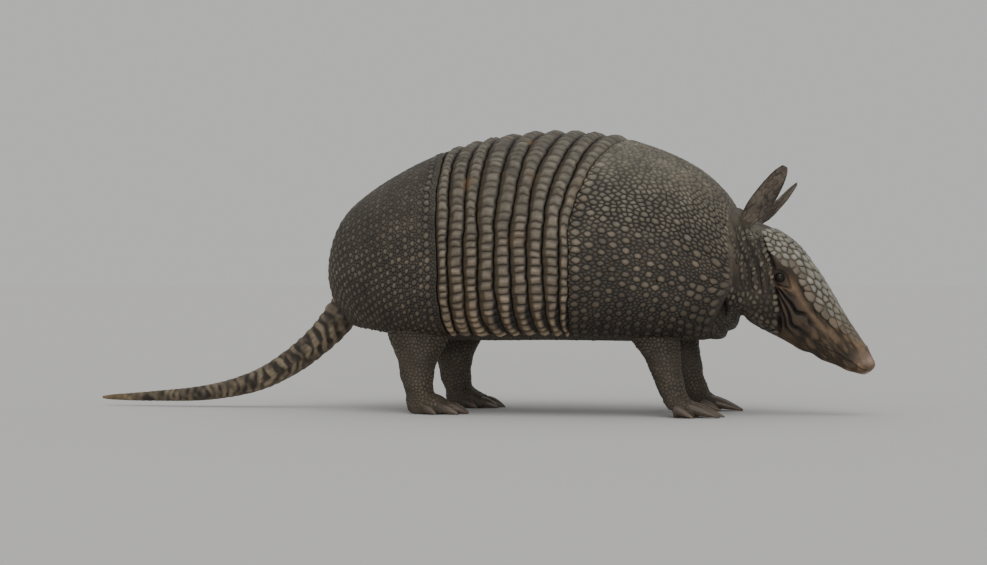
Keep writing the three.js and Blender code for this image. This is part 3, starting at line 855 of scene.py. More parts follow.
EARS = {  # base, tip, and where the hollow faces
    "right": ((189.5, -15, 137), (220, -26.5, 177.2), (0.55, -0.8, 0.1)),
    "left": ((191, 15, 136), (220.5, 32, 167.5), (0.9, -0.05, -0.3)),
}
SCALE_DEPTH = 0.5  # how far the skin lies inside the solids
TRUNK_DEPTH = 5.6  # how far the trunk's flesh lies under the shell's outer face
RIM_TO_BELLY = math.radians(24)  # over which it comes out below the rim
THROAT_NARROWING = 18
BODY_SIDES = {"trunk": 110, "neck and head": 64, "leg": 40, "foot": 36, "toe": 24, "claw": 28}

neck_surface = ring_surface(NECK_RINGS, NECK_SHAPE)
head_surface = ring_surface(HEAD_RINGS, HEAD_SHAPE)


def full_turn(count):
    return np.linspace(0, 2 * math.pi, count, endpoint=False)


def closed_loft(rings):
    """The points and faces of a closed body whose wall runs through these rings of points."""
    count, around = rings.shape[:2]
    points = np.concatenate([rings.reshape(-1, 3), [rings[0].mean(0), rings[-1].mean(0)]])
    grid = np.arange(count * around).reshape(count, around)
    ahead = np.roll(grid, -1, 1)
    faces = np.stack([grid[:-1], ahead[:-1], ahead[1:], grid[1:]], -1).reshape(-1, 4).tolist()
    start, end = count * around, count * around + 1
    faces += [(ahead[0, k], grid[0, k], start) for k in range(around)]
    faces += [(grid[-1, k], ahead[-1, k], end) for k in range(around)]
    return points, faces


def trunk_body():
    t = np.linspace(0, THROAT_RING - 1, 70)[:, None]
    turn = full_turn(BODY_SIDES["trunk"])[None, :]
    turn = np.where(turn > math.pi, turn - 2 * math.pi, turn)
    past = np.clip((np.abs(turn) - RIM_ANGLE) / RIM_TO_BELLY, 0, 1)
    points = trunk_surface(t, turn, -TRUNK_DEPTH * (1 - past) - SCALE_DEPTH * past)
    throat = np.maximum(0, t - THROAT_RING + 3) / 2
    points[..., 1] *= 1 - throat * THROAT_NARROWING / TRUNK_RINGS[THROAT_RING][4]
    return closed_loft(points)


def ring_body(surface, last, steps):
    turn = full_turn(BODY_SIDES["neck and head"])[None, :]
    return closed_loft(surface(np.linspace(0, last, steps)[:, None], turn, -SCALE_DEPTH))


def leg_body(rings, side, step):
    rows = row_at(rings, np.linspace(0, len(rings) - 1, 44))[:, None, :]
    z, x, y, length, width = np.moveaxis(rows, -1, 0)
    angle = full_turn(BODY_SIDES["leg"])[None, :]
    length, width = length - SCALE_DEPTH, width - SCALE_DEPTH
    return closed_loft(np.stack([x + step + length * np.cos(angle), side * (y + width * np.sin(angle)),
                                 z + 0 * angle], -1))


def foot_body(rings, side, step):
    rows = row_at(rings, np.linspace(0, len(rings) - 1, 26))[:, None, :]
    x, sole, top, half = np.moveaxis(rows, -1, 0)
    angle = full_turn(BODY_SIDES["foot"])[None, :]
    out = reach(angle, 2.6)
    middle = mix(sole, top, 0.35)
    z = np.maximum(middle + (top - middle) * np.cos(angle) * out, sole)
    return closed_loft(np.stack([x + step + 0 * angle, side * (FOOT_Y + half * np.sin(angle) * out), z], -1))


def toe_line(spec, side, step):
    """Where a toe's root, its end and its claw's tip lie on the floor, and the way it points."""
    root, tip, _, claw = spec
    start = np.array([root[0] + step, side * root[1], 0.0])
    end = np.array([tip[0] + step, side * tip[1], 0.0])
    way = unit(end - start)
    return start, end - way * claw, end, way


def floor_bar(start, end, share, half, low, high, around=BODY_SIDES["toe"], power=2.4):
    """A bar that lies on the floor, whose half width, bottom and top are given along it."""
    way = end - start
    across = unit(np.array([-way[1], way[0], 0.0]))
    angle = full_turn(around)[None, :]
    out = reach(angle, power)
    share, half, low, high = (np.asarray(v, float)[:, None] for v in (share, half, low, high))
    middle = mix(low, high, 0.5)
    z = np.maximum(middle + (high - middle) * np.cos(angle) * out, low)
    points = start + way * share[..., None] + across * (half * np.sin(angle) * out)[..., None]
    points[..., 2] = z
    return closed_loft(points)


def toe_body(spec, side, step):
    start, joint, _, _ = toe_line(spec, side, step)
    start = start - 0.8 * (joint - start)
    share = np.linspace(0, 1, 10)
    high = spec[2] * 2
    fall = 1 - 0.12 * smooth(0.85, 1, share)
    return floor_bar(start, joint, share, spec[2] * mix(1, 0.92, share) * fall, 0 * share,
                     mix(high * 1.15, high * 0.86, share) * fall)


def flesh_bodies():
    bodies = [trunk_body(), ring_body(neck_surface, 2, 30), ring_body(head_surface, 10, 120)]
    for leg, foot, toes, ahead in LIMBS.values():
        for side in SIDES.values():
            step = ahead if side > 0 else 0
            bodies += [leg_body(leg, side, step), foot_body(foot, side, step)]
            bodies += [toe_body(spec, side, step) for spec in toes]
    return bodies


def joined(bodies):
    points, faces, first = [], [], 0
    for body_points, body_faces in bodies:
        points.append(body_points)
        faces += [tuple(first + i for i in face) for face in body_faces]
        first += len(body_points)
    return np.concatenate(points), faces


VOXEL = 1.15  # the skin's grain
SMOOTHINGS = 7


def fuse(thing):
    """Melts the bodies of an object into one, and smooths where they meet."""
    voxels = thing.modifiers.new("REMESH", "REMESH")
    voxels.mode, voxels.voxel_size = "VOXEL", VOXEL * MM
    soft = thing.modifiers.new("SMOOTH", "SMOOTH")
    soft.factor, soft.iterations = 0.5, SMOOTHINGS
    result = thing.evaluated_get(bpy.context.evaluated_depsgraph_get())
    mesh = bpy.data.meshes.new_from_object(result)
    thing.modifiers.clear()
    old = thing.data
    thing.data = mesh
    bpy.data.meshes.remove(old)


def points_of(mesh):
    """The points of a mesh in millimetres from the picture's middle, and their normals."""
    points = np.empty(len(mesh.vertices) * 3)
    mesh.vertices.foreach_get("co", points)
    normals = np.empty(len(mesh.vertices) * 3)
    mesh.vertices.foreach_get("normal", normals)
    return points.reshape(-1, 3) / MM - SHIFT, normals.reshape(-1, 3)


def move_points(mesh, points):
    mesh.vertices.foreach_set("co", ((points + SHIFT) * MM).astype(np.float32).ravel())
    mesh.update()


def divide(mesh, wanted):
    """Halves the edges between wanted points."""
    bm = bmesh.new()
    bm.from_mesh(mesh)
    bm.verts.ensure_lookup_table()
    edges = [e for e in bm.edges if wanted[e.verts[0].index] and wanted[e.verts[1].index]]
    bmesh.ops.subdivide_edges(bm, edges=edges, cuts=1, use_grid_fill=True, smooth=0)
    bm.to_mesh(mesh)
    bm.free()


# ---------------------------------------------------------------- the head's features

EYE_PLACE = (2.58, math.radians(76))  # ring and angle
EYE_RADIUS = 3.6
EYE_SUNK = 2.3  # how far the ball's middle lies under the solid's face
LID_AXES = (3.3, 2.85)  # half length and half height of the opening
NOSTRIL = (9.62, math.radians(62))
POUCH = (2.6, 7.6, 4.5)  # the fold round the lids: how far ahead its middle lies, and its half axes
FOLD_WIDTH = 6.2  # of the neck's upright folds
FOLD_LINE = [  # z and x of the cheek's scaly edge, up from the throat
    (50, 209), (59, 212.4), (67, 214), (74, 214.6), (83, 213.3), (93, 212.2), (105, 210.7), (114.5, 207.4),
    (127.6, 203), (137, 197.5), (145, 192),
]
CROWN_EDGE = [  # ring, and the bare crown's half angle there in degrees
    (0.9, 48), (1.2, 38), (1.5, 26), (1.8, 14), (2.05, 6), (2.25, 0),
]
SHIELD_EDGE = [  # ring, and the head shield's half angle there in degrees
    (0.55, 6), (0.85, 24), (1.5, 40), (1.93, 56), (2.5, 60), (3.2, 54), (3.6, 55), (4.3, 66), (5.1, 68),
    (5.6, 64), (6.3, 54), (7.0, 42), (7.5, 24), (7.8, 6),
]
STREAK_LINE = [(3.0, 76), (3.75, 78), (4.6, 86), (5.4, 88)]  # of the pale streak ahead of the eye
MOUTH_LINE = [(4.4, 134), (5.3, 121), (6.4, 112), (7.5, 111), (10, 118)]
FAN_MIDDLE = (209, 101)  # x and z of the place from which the furrows fan out
FURROW_SPACING = 9.0  # in degrees
MUZZLE_WAY = (0.55, 0.0, -0.83)  # along its wrinkles


def eye_centre(side):
    return head_surface(EYE_PLACE[0], side * EYE_PLACE[1], -EYE_SUNK)


def eye_axes(side):
    """The way out of the eye, the way to its front corner, and the way up across it."""
    out = unit(head_surface(EYE_PLACE[0], side * EYE_PLACE[1], 1.0)
               - head_surface(EYE_PLACE[0], side * EYE_PLACE[1], 0.0))
    ahead = np.array([0.71, 0.0, -0.70])
    ahead = unit(ahead - out * (ahead @ out))
    up = np.cross(ahead, out) * side
    return out, ahead, up * np.sign(up[2])


def head_places(points):
    """The nearest ring and angle on the head to each point."""
    t, angle = np.meshgrid(np.linspace(0, 10, 241), np.linspace(-math.pi, math.pi, 241)[:-1], indexing="ij")
    samples = head_surface(t, angle, -SCALE_DEPTH).reshape(-1, 3)
    tree = KDTree(len(samples))
    for i, sample in enumerate(samples.tolist()):
        tree.insert(sample, i)
    tree.balance()
    nearest = np.array([tree.find(p)[1] for p in points.tolist()])
    return t.ravel()[nearest], angle.ravel()[nearest]


def table(rows, value):
    return np.interp(value, [a for a, _ in rows], [b for _, b in rows])


class HeadMarks:
    """Where points of the head lie among its features. Every value has one entry to a point."""

    def __init__(self, points):
        self.points = points
        self.t, self.angle = head_places(points)
        self.turn = np.degrees(np.abs(self.angle))
        self.behind = table(FOLD_LINE, points[:, 2]) - points[:, 0]
        self.face = 1 - smooth(-0.6, 0.4, self.behind)
        self.mark_plates()
        self.mark_folds()
        self.mark_furrows()
        self.mark_muzzle()

    def mark_plates(self):
        """The head shield, the bare crown behind it and the hollow under its edge."""
        self.edge = table(SHIELD_EDGE, self.t) - self.turn
        crown = smooth(3, -2, self.turn - table(CROWN_EDGE, self.t))
        self.crown = crown * smooth(191, 196, self.points[:, 0]) * (self.t < 2.4)
        self.shield = smooth(-2, 1.5, self.edge) * (self.t > 0.5) * (1 - self.crown)
        self.valley = between(-15, -8, -3, 2, self.edge) * between(1.6, 2.2, 4.4, 5.8, self.t) * self.face

    def mark_folds(self):
        """The neck's upright folds."""
        warp = 1.4 * waves(self.points, 22, 61)
        self.fold = np.cos((self.behind + warp - 6.5) / FOLD_WIDTH * 2 * math.pi)
        self.folded = between(2, 5, 20, 24, self.behind) * between(80, 96, 128, 140, self.points[:, 2])

    def mark_furrows(self):
        """The furrows behind the eye, and the pale streak ahead of it."""
        x, z = self.points[:, 0] - FAN_MIDDLE[0], self.points[:, 2] - FAN_MIDDLE[1]
        fan, far = np.degrees(np.arctan2(-z, x)), np.hypot(x, z)
        self.furrows = smooth(40, 50, fan) * between(4, 9, 40, 56, far) * (1 - smooth(126, 140, self.turn))
        self.furrows = self.furrows * self.face
        wander = 4.5 * waves(self.points, 14, 62) + 2.0 * waves(self.points, 5, 63)
        groove = 1 - np.abs(np.sin((fan + wander) / FURROW_SPACING * math.pi))
        self.groove = groove ** (1.6 - 0.7 * waves(self.points, 12, 66))
        streak = ridge(self.turn, table(STREAK_LINE, self.t), 6.0)
        self.streak = streak * between(2.9, 3.3, 5.0, 6.6, self.t) * self.face

    def mark_muzzle(self):
        """The mouth's line, the nose's tip and the long fine wrinkles."""
        mouth = table(MOUTH_LINE, self.t)
        self.mouth_gap = (self.turn - mouth) * np.interp(self.t, [4, 10], [0.42, 0.13])
        self.mouth = smooth(4.6, 6.2, self.t)
        self.muzzle = smooth(4.2, 6.2, self.t)
        self.tip = smooth(7.2, 9.2, self.t)
        way = unit(np.array(MUZZLE_WAY))
        squeezed = self.points - (self.points @ way)[:, None] * way * 0.8
        coarse, fine = waves(squeezed, 3.4, 64), waves(squeezed, 1.7, 65)
        self.grain = coarse + 0.7 * fine
        self.lines = (ridge(coarse, 0, 0.25) + 0.6 * ridge(fine, 0, 0.25)).clip(0, 1)
        self.wrinkled = self.face * (1 - self.shield) * smooth(3.2, 4.6, self.t)

    def eye(self, side):
        """
        For the eye on this side: how far out of its opening a point lies and out of the fold round it, with 1
        at the edge of each, and how far ahead of the eye's middle and above it.
        """
        out, ahead, up = eye_axes(side)
        arm = self.points - eye_centre(side)
        along, across, depth = arm @ ahead, arm @ up, arm @ out
        opening = np.hypot(along / LID_AXES[0], across / LID_AXES[1])
        ahead_by, length, height = POUCH
        narrow = 1 - 0.5 * smooth(1, 10, along)
        pouch = np.hypot((along - ahead_by) / length, across / (height * narrow))
        far = depth < -6
        return np.where(far, 99, opening), np.where(far, 99, pouch), along, across


def neck_lift(marks):
    """How far the skin of the neck and the cheeks stands out."""
    x, _, z = marks.points.T
    turn, behind = marks.turn, marks.behind
    # The cheek's scaly edge stands over the face, with a deep crease in front of it.
    strength = between(24, 60, 130, 160, turn) * smooth(190, 200, x)
    lift = strength * 1.5 * np.exp(-np.abs(behind - 1.2) / 3.5) * (behind > -0.6)
    lift -= strength * mix(1.7, 2.5, smooth(98, 110, z)) * ridge(behind, -1.5, 1.4)
    lift += marks.folded * (1.0 * marks.fold - 0.5)
    # The skin of the nape is drawn up under the shield.
    lift += 3.2 * (1 - smooth(184, 197, x)) * (1 - smooth(45, 85, turn))
    # Beside the throat it fills the shell's opening, and under it lies a fold.
    lift += 4.5 * (1 - smooth(181, 194, x)) * between(45, 75, 125, 150, turn)
    return lift - 3.0 * ridge(x, 185, 4.5) * smooth(125, 150, turn)


def face_lift(marks):
    """How far the skin of the face stands out: its furrows, wrinkles, mouth and brow."""
    t, gap = marks.t, marks.mouth_gap
    lift = marks.furrows * (0.6 - 2.4 * marks.groove)
    lift += 0.8 * marks.streak - 0.5 * marks.valley
    wrinkled = marks.wrinkled * (1 - 0.6 * marks.tip) * (1 - smooth(122, 145, marks.turn))
    lift += (0.35 * marks.grain - 0.45 * marks.lines) * wrinkled
    lift += marks.mouth * (0.3 * ridge(gap, -1.6, 1.1) - 0.6 * ridge(gap, 0, 0.6))
    return lift + 0.9 * ridge(marks.edge, -3, 4) * between(2.0, 2.4, 3.2, 3.8, t)


def shape_head(points, normals):
    """Moves the skin's points on the head and neck into its lids, folds and furrows."""
    marks = HeadMarks(points)
    moved = points + normals * (neck_lift(marks) + face_lift(marks))[:, None]
    # The nostrils.
    for side in SIDES.values():
        gap = np.linalg.norm(points - head_surface(*NOSTRIL, 0.0) * (1, side, 1), axis=1)
        moved -= normals * (1.5 * ridge(gap, 0, 1.05) - 0.3 * ridge(gap, 2.2, 0.7))[:, None]
    for side in SIDES.values():
        moved = shape_lids(moved, marks, side)
    return moved, marks


def shape_lids(points, marks, side):
    """Opens the skin over the eyeball, lays the lids on it, and folds the skin round them."""
    opening, pouch, along, across = marks.eye(side)
    out = eye_axes(side)[0]
    depth = (points - eye_centre(side)) @ out
    flat = np.hypot(along, across)
    ball = np.sqrt(np.maximum(EYE_RADIUS**2 - flat**2, 0))
    over = np.where(flat < EYE_RADIUS, ball, -0.35 * (flat - EYE_RADIUS)) + 0.6
    rim = np.maximum(over, 1.3)
    hole = mix(-1.2, rim - 0.2, smooth(0.74, 1.0, opening))
    lids = mix(rim, depth, smooth(1.2, 2.4, opening))
    lids = lids + 0.35 * ridge(opening, 1.12, 0.14)
    lids = lids - 0.7 * ridge(pouch, 1.0, 0.2) + 0.35 * ridge(pouch, 1.35, 0.18)
    lids = lids + 0.5 * ridge(pouch, 0.72, 0.16) * smooth(1.5, -2, across)
    target = np.where(opening < 1, hole, lids)
    near = (opening < 3.2) | (pouch < 1.7)
    return points + out * np.where(near, target - depth, 0)[:, None]


# ---------------------------------------------------------------- the skin

SKIN_DARK = rgb(0x231C16)
SKIN_BROWN = rgb(0x54432F)
SKIN_TAN = rgb(0x7B644D)
SKIN_PINK = rgb(0xA88E7C)
SKIN_LID = rgb(0x3F3026)
SKIN_RED = rgb(0x2A1A12)
SKIN_NECK = rgb(0x453D33)
SKIN_NAPE = rgb(0x4B463C)
SKIN_CROWN = rgb(0x6B665A)
SHIELD_GAP = rgb(0x645D50)  # between the head's scutes
SKIN_LEG = rgb(0x423A30)
SKIN_BELLY_SHADED = rgb(0x342B23)
EAR_DARK = rgb(0x3A312A)
EAR_LIGHT = rgb(0x6B6156)


def blend(tint, colour, share):
    return mix(tint, colour, np.clip(share, 0, 1)[:, None])


def pocket_shade(points):
    """Where shade is painted into the hollow beside the throat, behind the shoulder shield's lower front
    edge.
    """
    x, y, z = points.T
    return between(150, 165, 184, 192, x) * smooth(26, 38, np.abs(y)) * between(58, 66, 84, 100, z)


def skin_tint(points, marks, on_head):
    z = points[:, 2]
    tint = np.tile(SKIN_LEG, (len(points), 1))
    # Above the legs the skin takes the belly's colour: its own colour, painted darker as shade under the
    # shell.
    tint = blend(tint, SKIN_BELLY_SHADED, smooth(40, 50, z))
    tint = blend(tint, SKIN_NECK, smooth(150, 175, points[:, 0]) * smooth(70, 100, z))
    # Painted shadow in the hollow beside the throat.
    tint = blend(tint, SKIN_DARK * 0.6, 0.85 * pocket_shade(points))
    tint[on_head] = head_tint(tint[on_head], marks)
    return tint * (1 + 0.14 * waves(points, 11, 72) + 0.1 * waves(points, 4, 73))[:, None]


def head_tint(head, marks):
    """Colours of the head's and neck's skin over those given."""
    layers = face_layers(marks) + edge_layers(marks)
    for side in SIDES.values():
        layers += lid_layers(marks, side)
    for colour, share in layers:
        head = blend(head, colour, share)
    return head


def face_layers(marks):
    """Colours of the nape, the neck's folds, the face, its wrinkles and its furrows, with their shares."""
    grain, wrinkled, furrows, groove = marks.grain, marks.wrinkled, marks.furrows, marks.groove
    under = smooth(118, 140, marks.turn) * marks.face
    brown = mix(SKIN_BROWN, SKIN_DARK, 0.3)
    return [
        (SKIN_NAPE, smooth(124, 136, marks.points[:, 2]) * (1 - marks.shield)),
        (SKIN_DARK, 0.75 * marks.folded * smooth(0.2, -0.8, marks.fold)),
        (brown, marks.face),
        (brown, under),
        (SKIN_BROWN * 1.15, marks.muzzle * (1 - under) * 0.85),
        (SKIN_TAN, 0.6 * wrinkled * smooth(0.0, 0.9, grain) * (1 - 0.5 * under)),
        (SKIN_DARK, 0.6 * wrinkled * smooth(0.0, -0.8, grain) * (1 - 0.8 * marks.tip)),
        (SKIN_DARK, 0.75 * wrinkled * marks.lines * (1 - 0.7 * marks.tip)),
        (mix(SKIN_DARK, SKIN_BROWN, 0.05), 0.9 * furrows),
        (SKIN_TAN * 0.6, 0.4 * furrows * (1 - smooth(0.01, 0.1, groove))),
        (SKIN_DARK * 0.35, furrows * smooth(0.04, 0.3, groove)),
    ]


def edge_layers(marks):
    """Colours of the nose, the mouth, the head shield and the creases round it, with their shares."""
    mottle, pink = waves(marks.points, 7, 71), waves(marks.points, 7, 76)
    return [
        (mix(SKIN_DARK, SKIN_BROWN, 0.2), 0.85 * marks.valley),
        (SKIN_TAN, 0.8 * marks.streak),
        (SKIN_PINK, 0.9 * marks.tip * smooth(-1.1, 0.4, pink)),
        (SKIN_DARK, 0.6 * ridge(marks.mouth_gap, 0, 1.0) * marks.mouth),
        (SHIELD_GAP, 0.85 * marks.shield),
        (SKIN_CROWN, 0.95 * marks.crown),
        (SKIN_DARK * 0.7, ridge(marks.behind, -1.4, 1.7) * between(20, 50, 130, 160, marks.turn)),
        (SKIN_DARK, 0.45 * smooth(0.1, 0.9, mottle) * marks.face * (1 - marks.tip)),
    ]


def lid_layers(marks, side):
    """Colours round the eye on this side, with their shares."""
    opening, pouch, _, across = marks.eye(side)
    return [
        (SKIN_LID, 0.85 * smooth(1.15, 0.75, pouch) * smooth(2.5, -1, across)),
        (SKIN_TAN, 0.6 * ridge(pouch, 1.4, 0.24) * smooth(1, -3, across)),
        (SKIN_RED, 0.7 * ridge(pouch, 0.98, 0.2)),
        (SKIN_DARK * 0.4, 1 - smooth(1.05, 1.3, opening)),
    ]


HEAD_FROM = 178  # x where the part of the skin starts that has the head's features
FINE_FROM = 181  # and its finer mesh
EYE_REACH = 12  # round the eyes the mesh is finer still
CHEST_FULLNESS = 3.6


def flesh():
    """The skin without its ears and colours, with the head's marks and which of its points they are for."""
    points, faces = joined(flesh_bodies())
    thing = make_mesh("skin", points, faces)
    fuse(thing)
    mesh = thing.data
    points, _ = points_of(mesh)
    divide(mesh, points[:, 0] > FINE_FROM)
    points, _ = points_of(mesh)
    gaps = [np.linalg.norm(points - eye_centre(side), axis=1) for side in SIDES.values()]
    divide(mesh, np.minimum(*gaps) < EYE_REACH)
    points, normals = points_of(mesh)
    on_head = points[:, 0] > HEAD_FROM
    moved, marks = shape_head(points[on_head], normals[on_head])
    points[on_head] = moved
    # The chest fills the shell's front opening.
    x, y, z = points.T
    chest = between(160, 170, 181, 188, x) * (1 - smooth(34, 46, np.abs(y))) * between(44, 54, 64, 72, z)
    points += normals * (CHEST_FULLNESS * chest)[:, None]
    legs = (z < 50) & (z > 3)
    bumps = 0.35 * waves(points, 9, 74) + 0.2 * waves(points * np.array([0.6, 0.6, 1.6]), 5, 75)
    points[legs] += normals[legs] * bumps[legs, None]
    move_points(mesh, points)
    return thing, marks, on_head


EAR_HALF = 9.0  # an ear's half width
EAR_CUP = 3.2  # how far its edges stand forward
EAR_ROOT = 0.12  # how much of its length reaches into the head


def ear_body(name):
    """A cupped leaf with thin edges, from inside the head out to its tip, with its points' colours."""
    base, tip, front = (np.array(v, float) for v in EARS[name])
    axis = tip - base
    front = unit(front - axis * (front @ axis) / (axis @ axis))
    across = unit(np.cross(axis, front))
    root = base - EAR_ROOT * axis
    axis = axis * (1 + EAR_ROOT)
    u = np.linspace(0, 0.995, 90)[:, None]
    turn = full_turn(72)[None, :]
    side = -np.cos(turn)
    opening = 0.3 + 0.7 * np.sin(math.pi * np.minimum(0.5, u))
    width = side * (EAR_HALF * opening * np.sqrt(1 - 0.97 * u**3.0))
    cup = EAR_CUP * ((width / 9.2) ** 2 - 0.4 * (1 - u))
    thick = (1 - 0.45 * u) * np.sin(turn) * (0.45 + 0.55 * np.abs(np.sin(turn)))
    rim = 0.3 * ridge(np.abs(side), 0.93, 0.08)
    points = (root + u[..., None] * axis + width[..., None] * across
              + (cup + thick + rim)[..., None] * front)
    flat = points.reshape(-1, 3) @ np.array([axis * 0.012, across, front]).T
    cells = waves(flat, 3.2, 81) + 0.6 * waves(flat, 1.9, 82)
    creases = ridge(cells, 0, 0.22) + 0.7 * ridge(cells, -0.75, 0.15)
    relief = (0.22 * waves(flat, 7, 83) - 0.3 * creases).reshape(points.shape[:2])
    points = points + (relief * np.sign(np.sin(turn)))[..., None] * front
    # The left ear, the far one, is painted brighter than the right one: painted light.
    light = EAR_LIGHT * (1.45 if name == "left" else 1.08)
    tint = mix(light, EAR_DARK, np.clip(0.3 + 0.45 * waves(flat, 7, 84) + 0.8 * creases, 0, 1)[:, None])
    edge = smooth(0.7, 0.98, np.abs(side)) * np.ones_like(u)
    tint = tint * (1 - 0.3 * edge.reshape(-1, 1))
    body, faces = closed_loft(points)
    return body, faces, np.concatenate([tint, tint[[0, -1]]])


def skin():
    """One skin over all the flesh, with its ears."""
    thing, marks, on_head = flesh()
    points, _ = points_of(thing.data)
    paint(thing.data, skin_tint(points, marks, on_head))
    parts = [thing] + [make_mesh(f"ear_{name}_skin", *ear_body(name)) for name in SIDES]
    with bpy.context.temp_override(active_object=thing, selected_editable_objects=parts, object=thing):
        bpy.ops.object.join()
    thing.data.shade_smooth()
    return thing


# ---------------------------------------------------------------- scales on the skin

MAP_PATCH = 0.0015  # about the width of a scale's patch on the bake map


def spread(points, room, dice):
    """Picks points, in a random order, that keep this room from each other."""
    size = float(room.max())
    keys = np.floor(points / size).astype(int)
    cells = {}
    kept = []
    around = [(i, j, k) for i in (-1, 0, 1) for j in (-1, 0, 1) for k in (-1, 0, 1)]
    for n in dice.permutation(len(points)).tolist():
        x, y, z = points[n].tolist()
        least = float(room[n]) ** 2
        i, j, k = keys[n].tolist()
        near = (p for di, dj, dk in around for p in cells.get((i + di, j + dj, k + dk), ()))
        if all((px - x) ** 2 + (py - y) ** 2 + (pz - z) ** 2 >= least for px, py, pz in near):
            cells.setdefault((i, j, k), []).append((x, y, z))
            kept.append(n)
    return np.array(kept)


class Scales:
    """
    Separate small plates that lie close together on a surface. rings gives their domes from the root up:
    share of the radius, and share of the height, or -1 for what is sunk in the skin.
    """

    def __init__(self, edge, rings, gap, rounding, softness):
        self.edge, self.rings, self.gap, self.rounding, self.softness = edge, rings, gap, rounding, softness
        self.points, self.tint, self.flat, self.faces = [], [], [], []
        self.count = 0

    def add(self, places, normals, along, size, height, tint, dark, roots, stretch=1.0, sunk=0.45):
        """
        Each array has one entry to a scale: size is its usual width, and roots its place on the bake map.
        Scales are longer by stretch, and dark is the colour of their edges.
        """
        along = unit(along - normals * (along * normals).sum(1)[:, None])
        side = np.cross(normals, along)
        tree = KDTree(len(places))
        for i, place in enumerate(places.tolist()):
            tree.insert(place, i)
        tree.balance()
        stretch = np.broadcast_to(stretch, size.shape)
        for i in range(len(places)):
            polygon = self.outline(i, places, along, side, size, stretch[i], tree)
            if len(polygon) < 3:
                continue
            axes = along[i] * stretch[i], side[i], normals[i]
            self.dome(polygon, places[i], axes, size[i], height[i], tint[i], dark, roots[i], sunk)

    def outline(self, i, places, along, side, size, stretch, tree):
        """The flat polygon round place i that its neighbours leave it, with a gap between them."""
        here, width = places[i], float(size[i])
        reach_out = 0.72 * width
        polygon = [(reach_out * math.cos(a), reach_out * math.sin(a)) for a in full_turn(9).tolist()]
        ahead, across = along[i] / stretch, side[i]
        for _, j, _ in tree.find_range(here, 2.0 * width * stretch):
            if j == i:
                continue
            arm = places[j] - here
            x, y = float(arm @ ahead), float(arm @ across)
            far = math.hypot(x, y)
            if far < 1e-6:
                continue
            share = float(size[i] / (size[i] + size[j]))
            polygon = clip_polygon(polygon, (x / far, y / far), far * share - self.gap / 2)
            if len(polygon) < 3:
                break
        return polygon

    def dome(self, polygon, place, axes, size, height, tint, dark, root, sunk):
        """Raises a scale over its polygon, rounding off the corners."""
        along, side, normal = axes
        outline = []
        for k, end in enumerate(polygon):
            start = polygon[k - 1]
            length = math.hypot(end[0] - start[0], end[1] - start[1])
            parts = max(1, int(length / self.edge + 0.5))
            outline += [mix(np.array(start), np.array(end), p / parts) for p in range(parts)]
        flat = np.array(outline)
        centre = flat.mean(0)
        arms = flat - centre
        length = np.linalg.norm(arms, axis=1, keepdims=True)
        arms = arms * mix(1, np.minimum(1, length.mean() / np.maximum(length, 1e-6)), self.rounding)
        around = len(arms)
        first = self.count
        for share, rise in self.rings:
            ring = centre + arms * share
            level = height * rise if rise >= 0 else -sunk
            self.points.append(place + ring[:, :1] * along + ring[:, 1:] * side + normal * level)
            # Up each dome the colour runs from the dark edge to the scale's own tint: partly the scale's
            # colour, partly a painted highlight on its top.
            colour = mix(dark, tint, max(0.0, rise) ** self.softness)
            self.tint.append(np.tile(colour, (around, 1)))
            self.flat.append(root + MAP_PATCH * ring / size)
        self.points.append([place + centre[0] * along + centre[1] * side + normal * height])
        self.tint.append([tint])
        self.flat.append([root])
        last = first + around * (len(self.rings) - 1)
        sides = [((k - 1) % around, k) for k in range(around)]
        for r in range(first, last, around):
            self.faces += [(r + j, r + k, r + around + k, r + around + j) for j, k in sides]
        top = last + around
        self.faces += [(last + j, last + k, top) for j, k in sides]
        self.faces.append(tuple(range(first + around - 1, first - 1, -1)))
        self.count = top + 1

    def finish(self, name):
        return make_mesh(name, np.concatenate(self.points), self.faces, np.concatenate(self.tint),
                         np.concatenate(self.flat))


SMALL_SCALE = ((1.0, -1), (0.93, 0.45), (0.6, 0.88))
CHEEK_DOME = ((1.0, -1), (0.92, 0.3), (0.72, 0.68), (0.4, 0.92))
HEAD_SCALE = ((1.0, -1), (0.97, 0.15), (0.86, 0.48), (0.66, 0.78), (0.34, 0.96))

LEG_SCALE = rgb(0x4E463A)
CHEEK_SCALE = rgb(0x645C4F)
NECK_SCALE = rgb(0x625B4E)
HEAD_GREY = rgb(0x96958B)
HEAD_BROWN = rgb(0x6A5947)


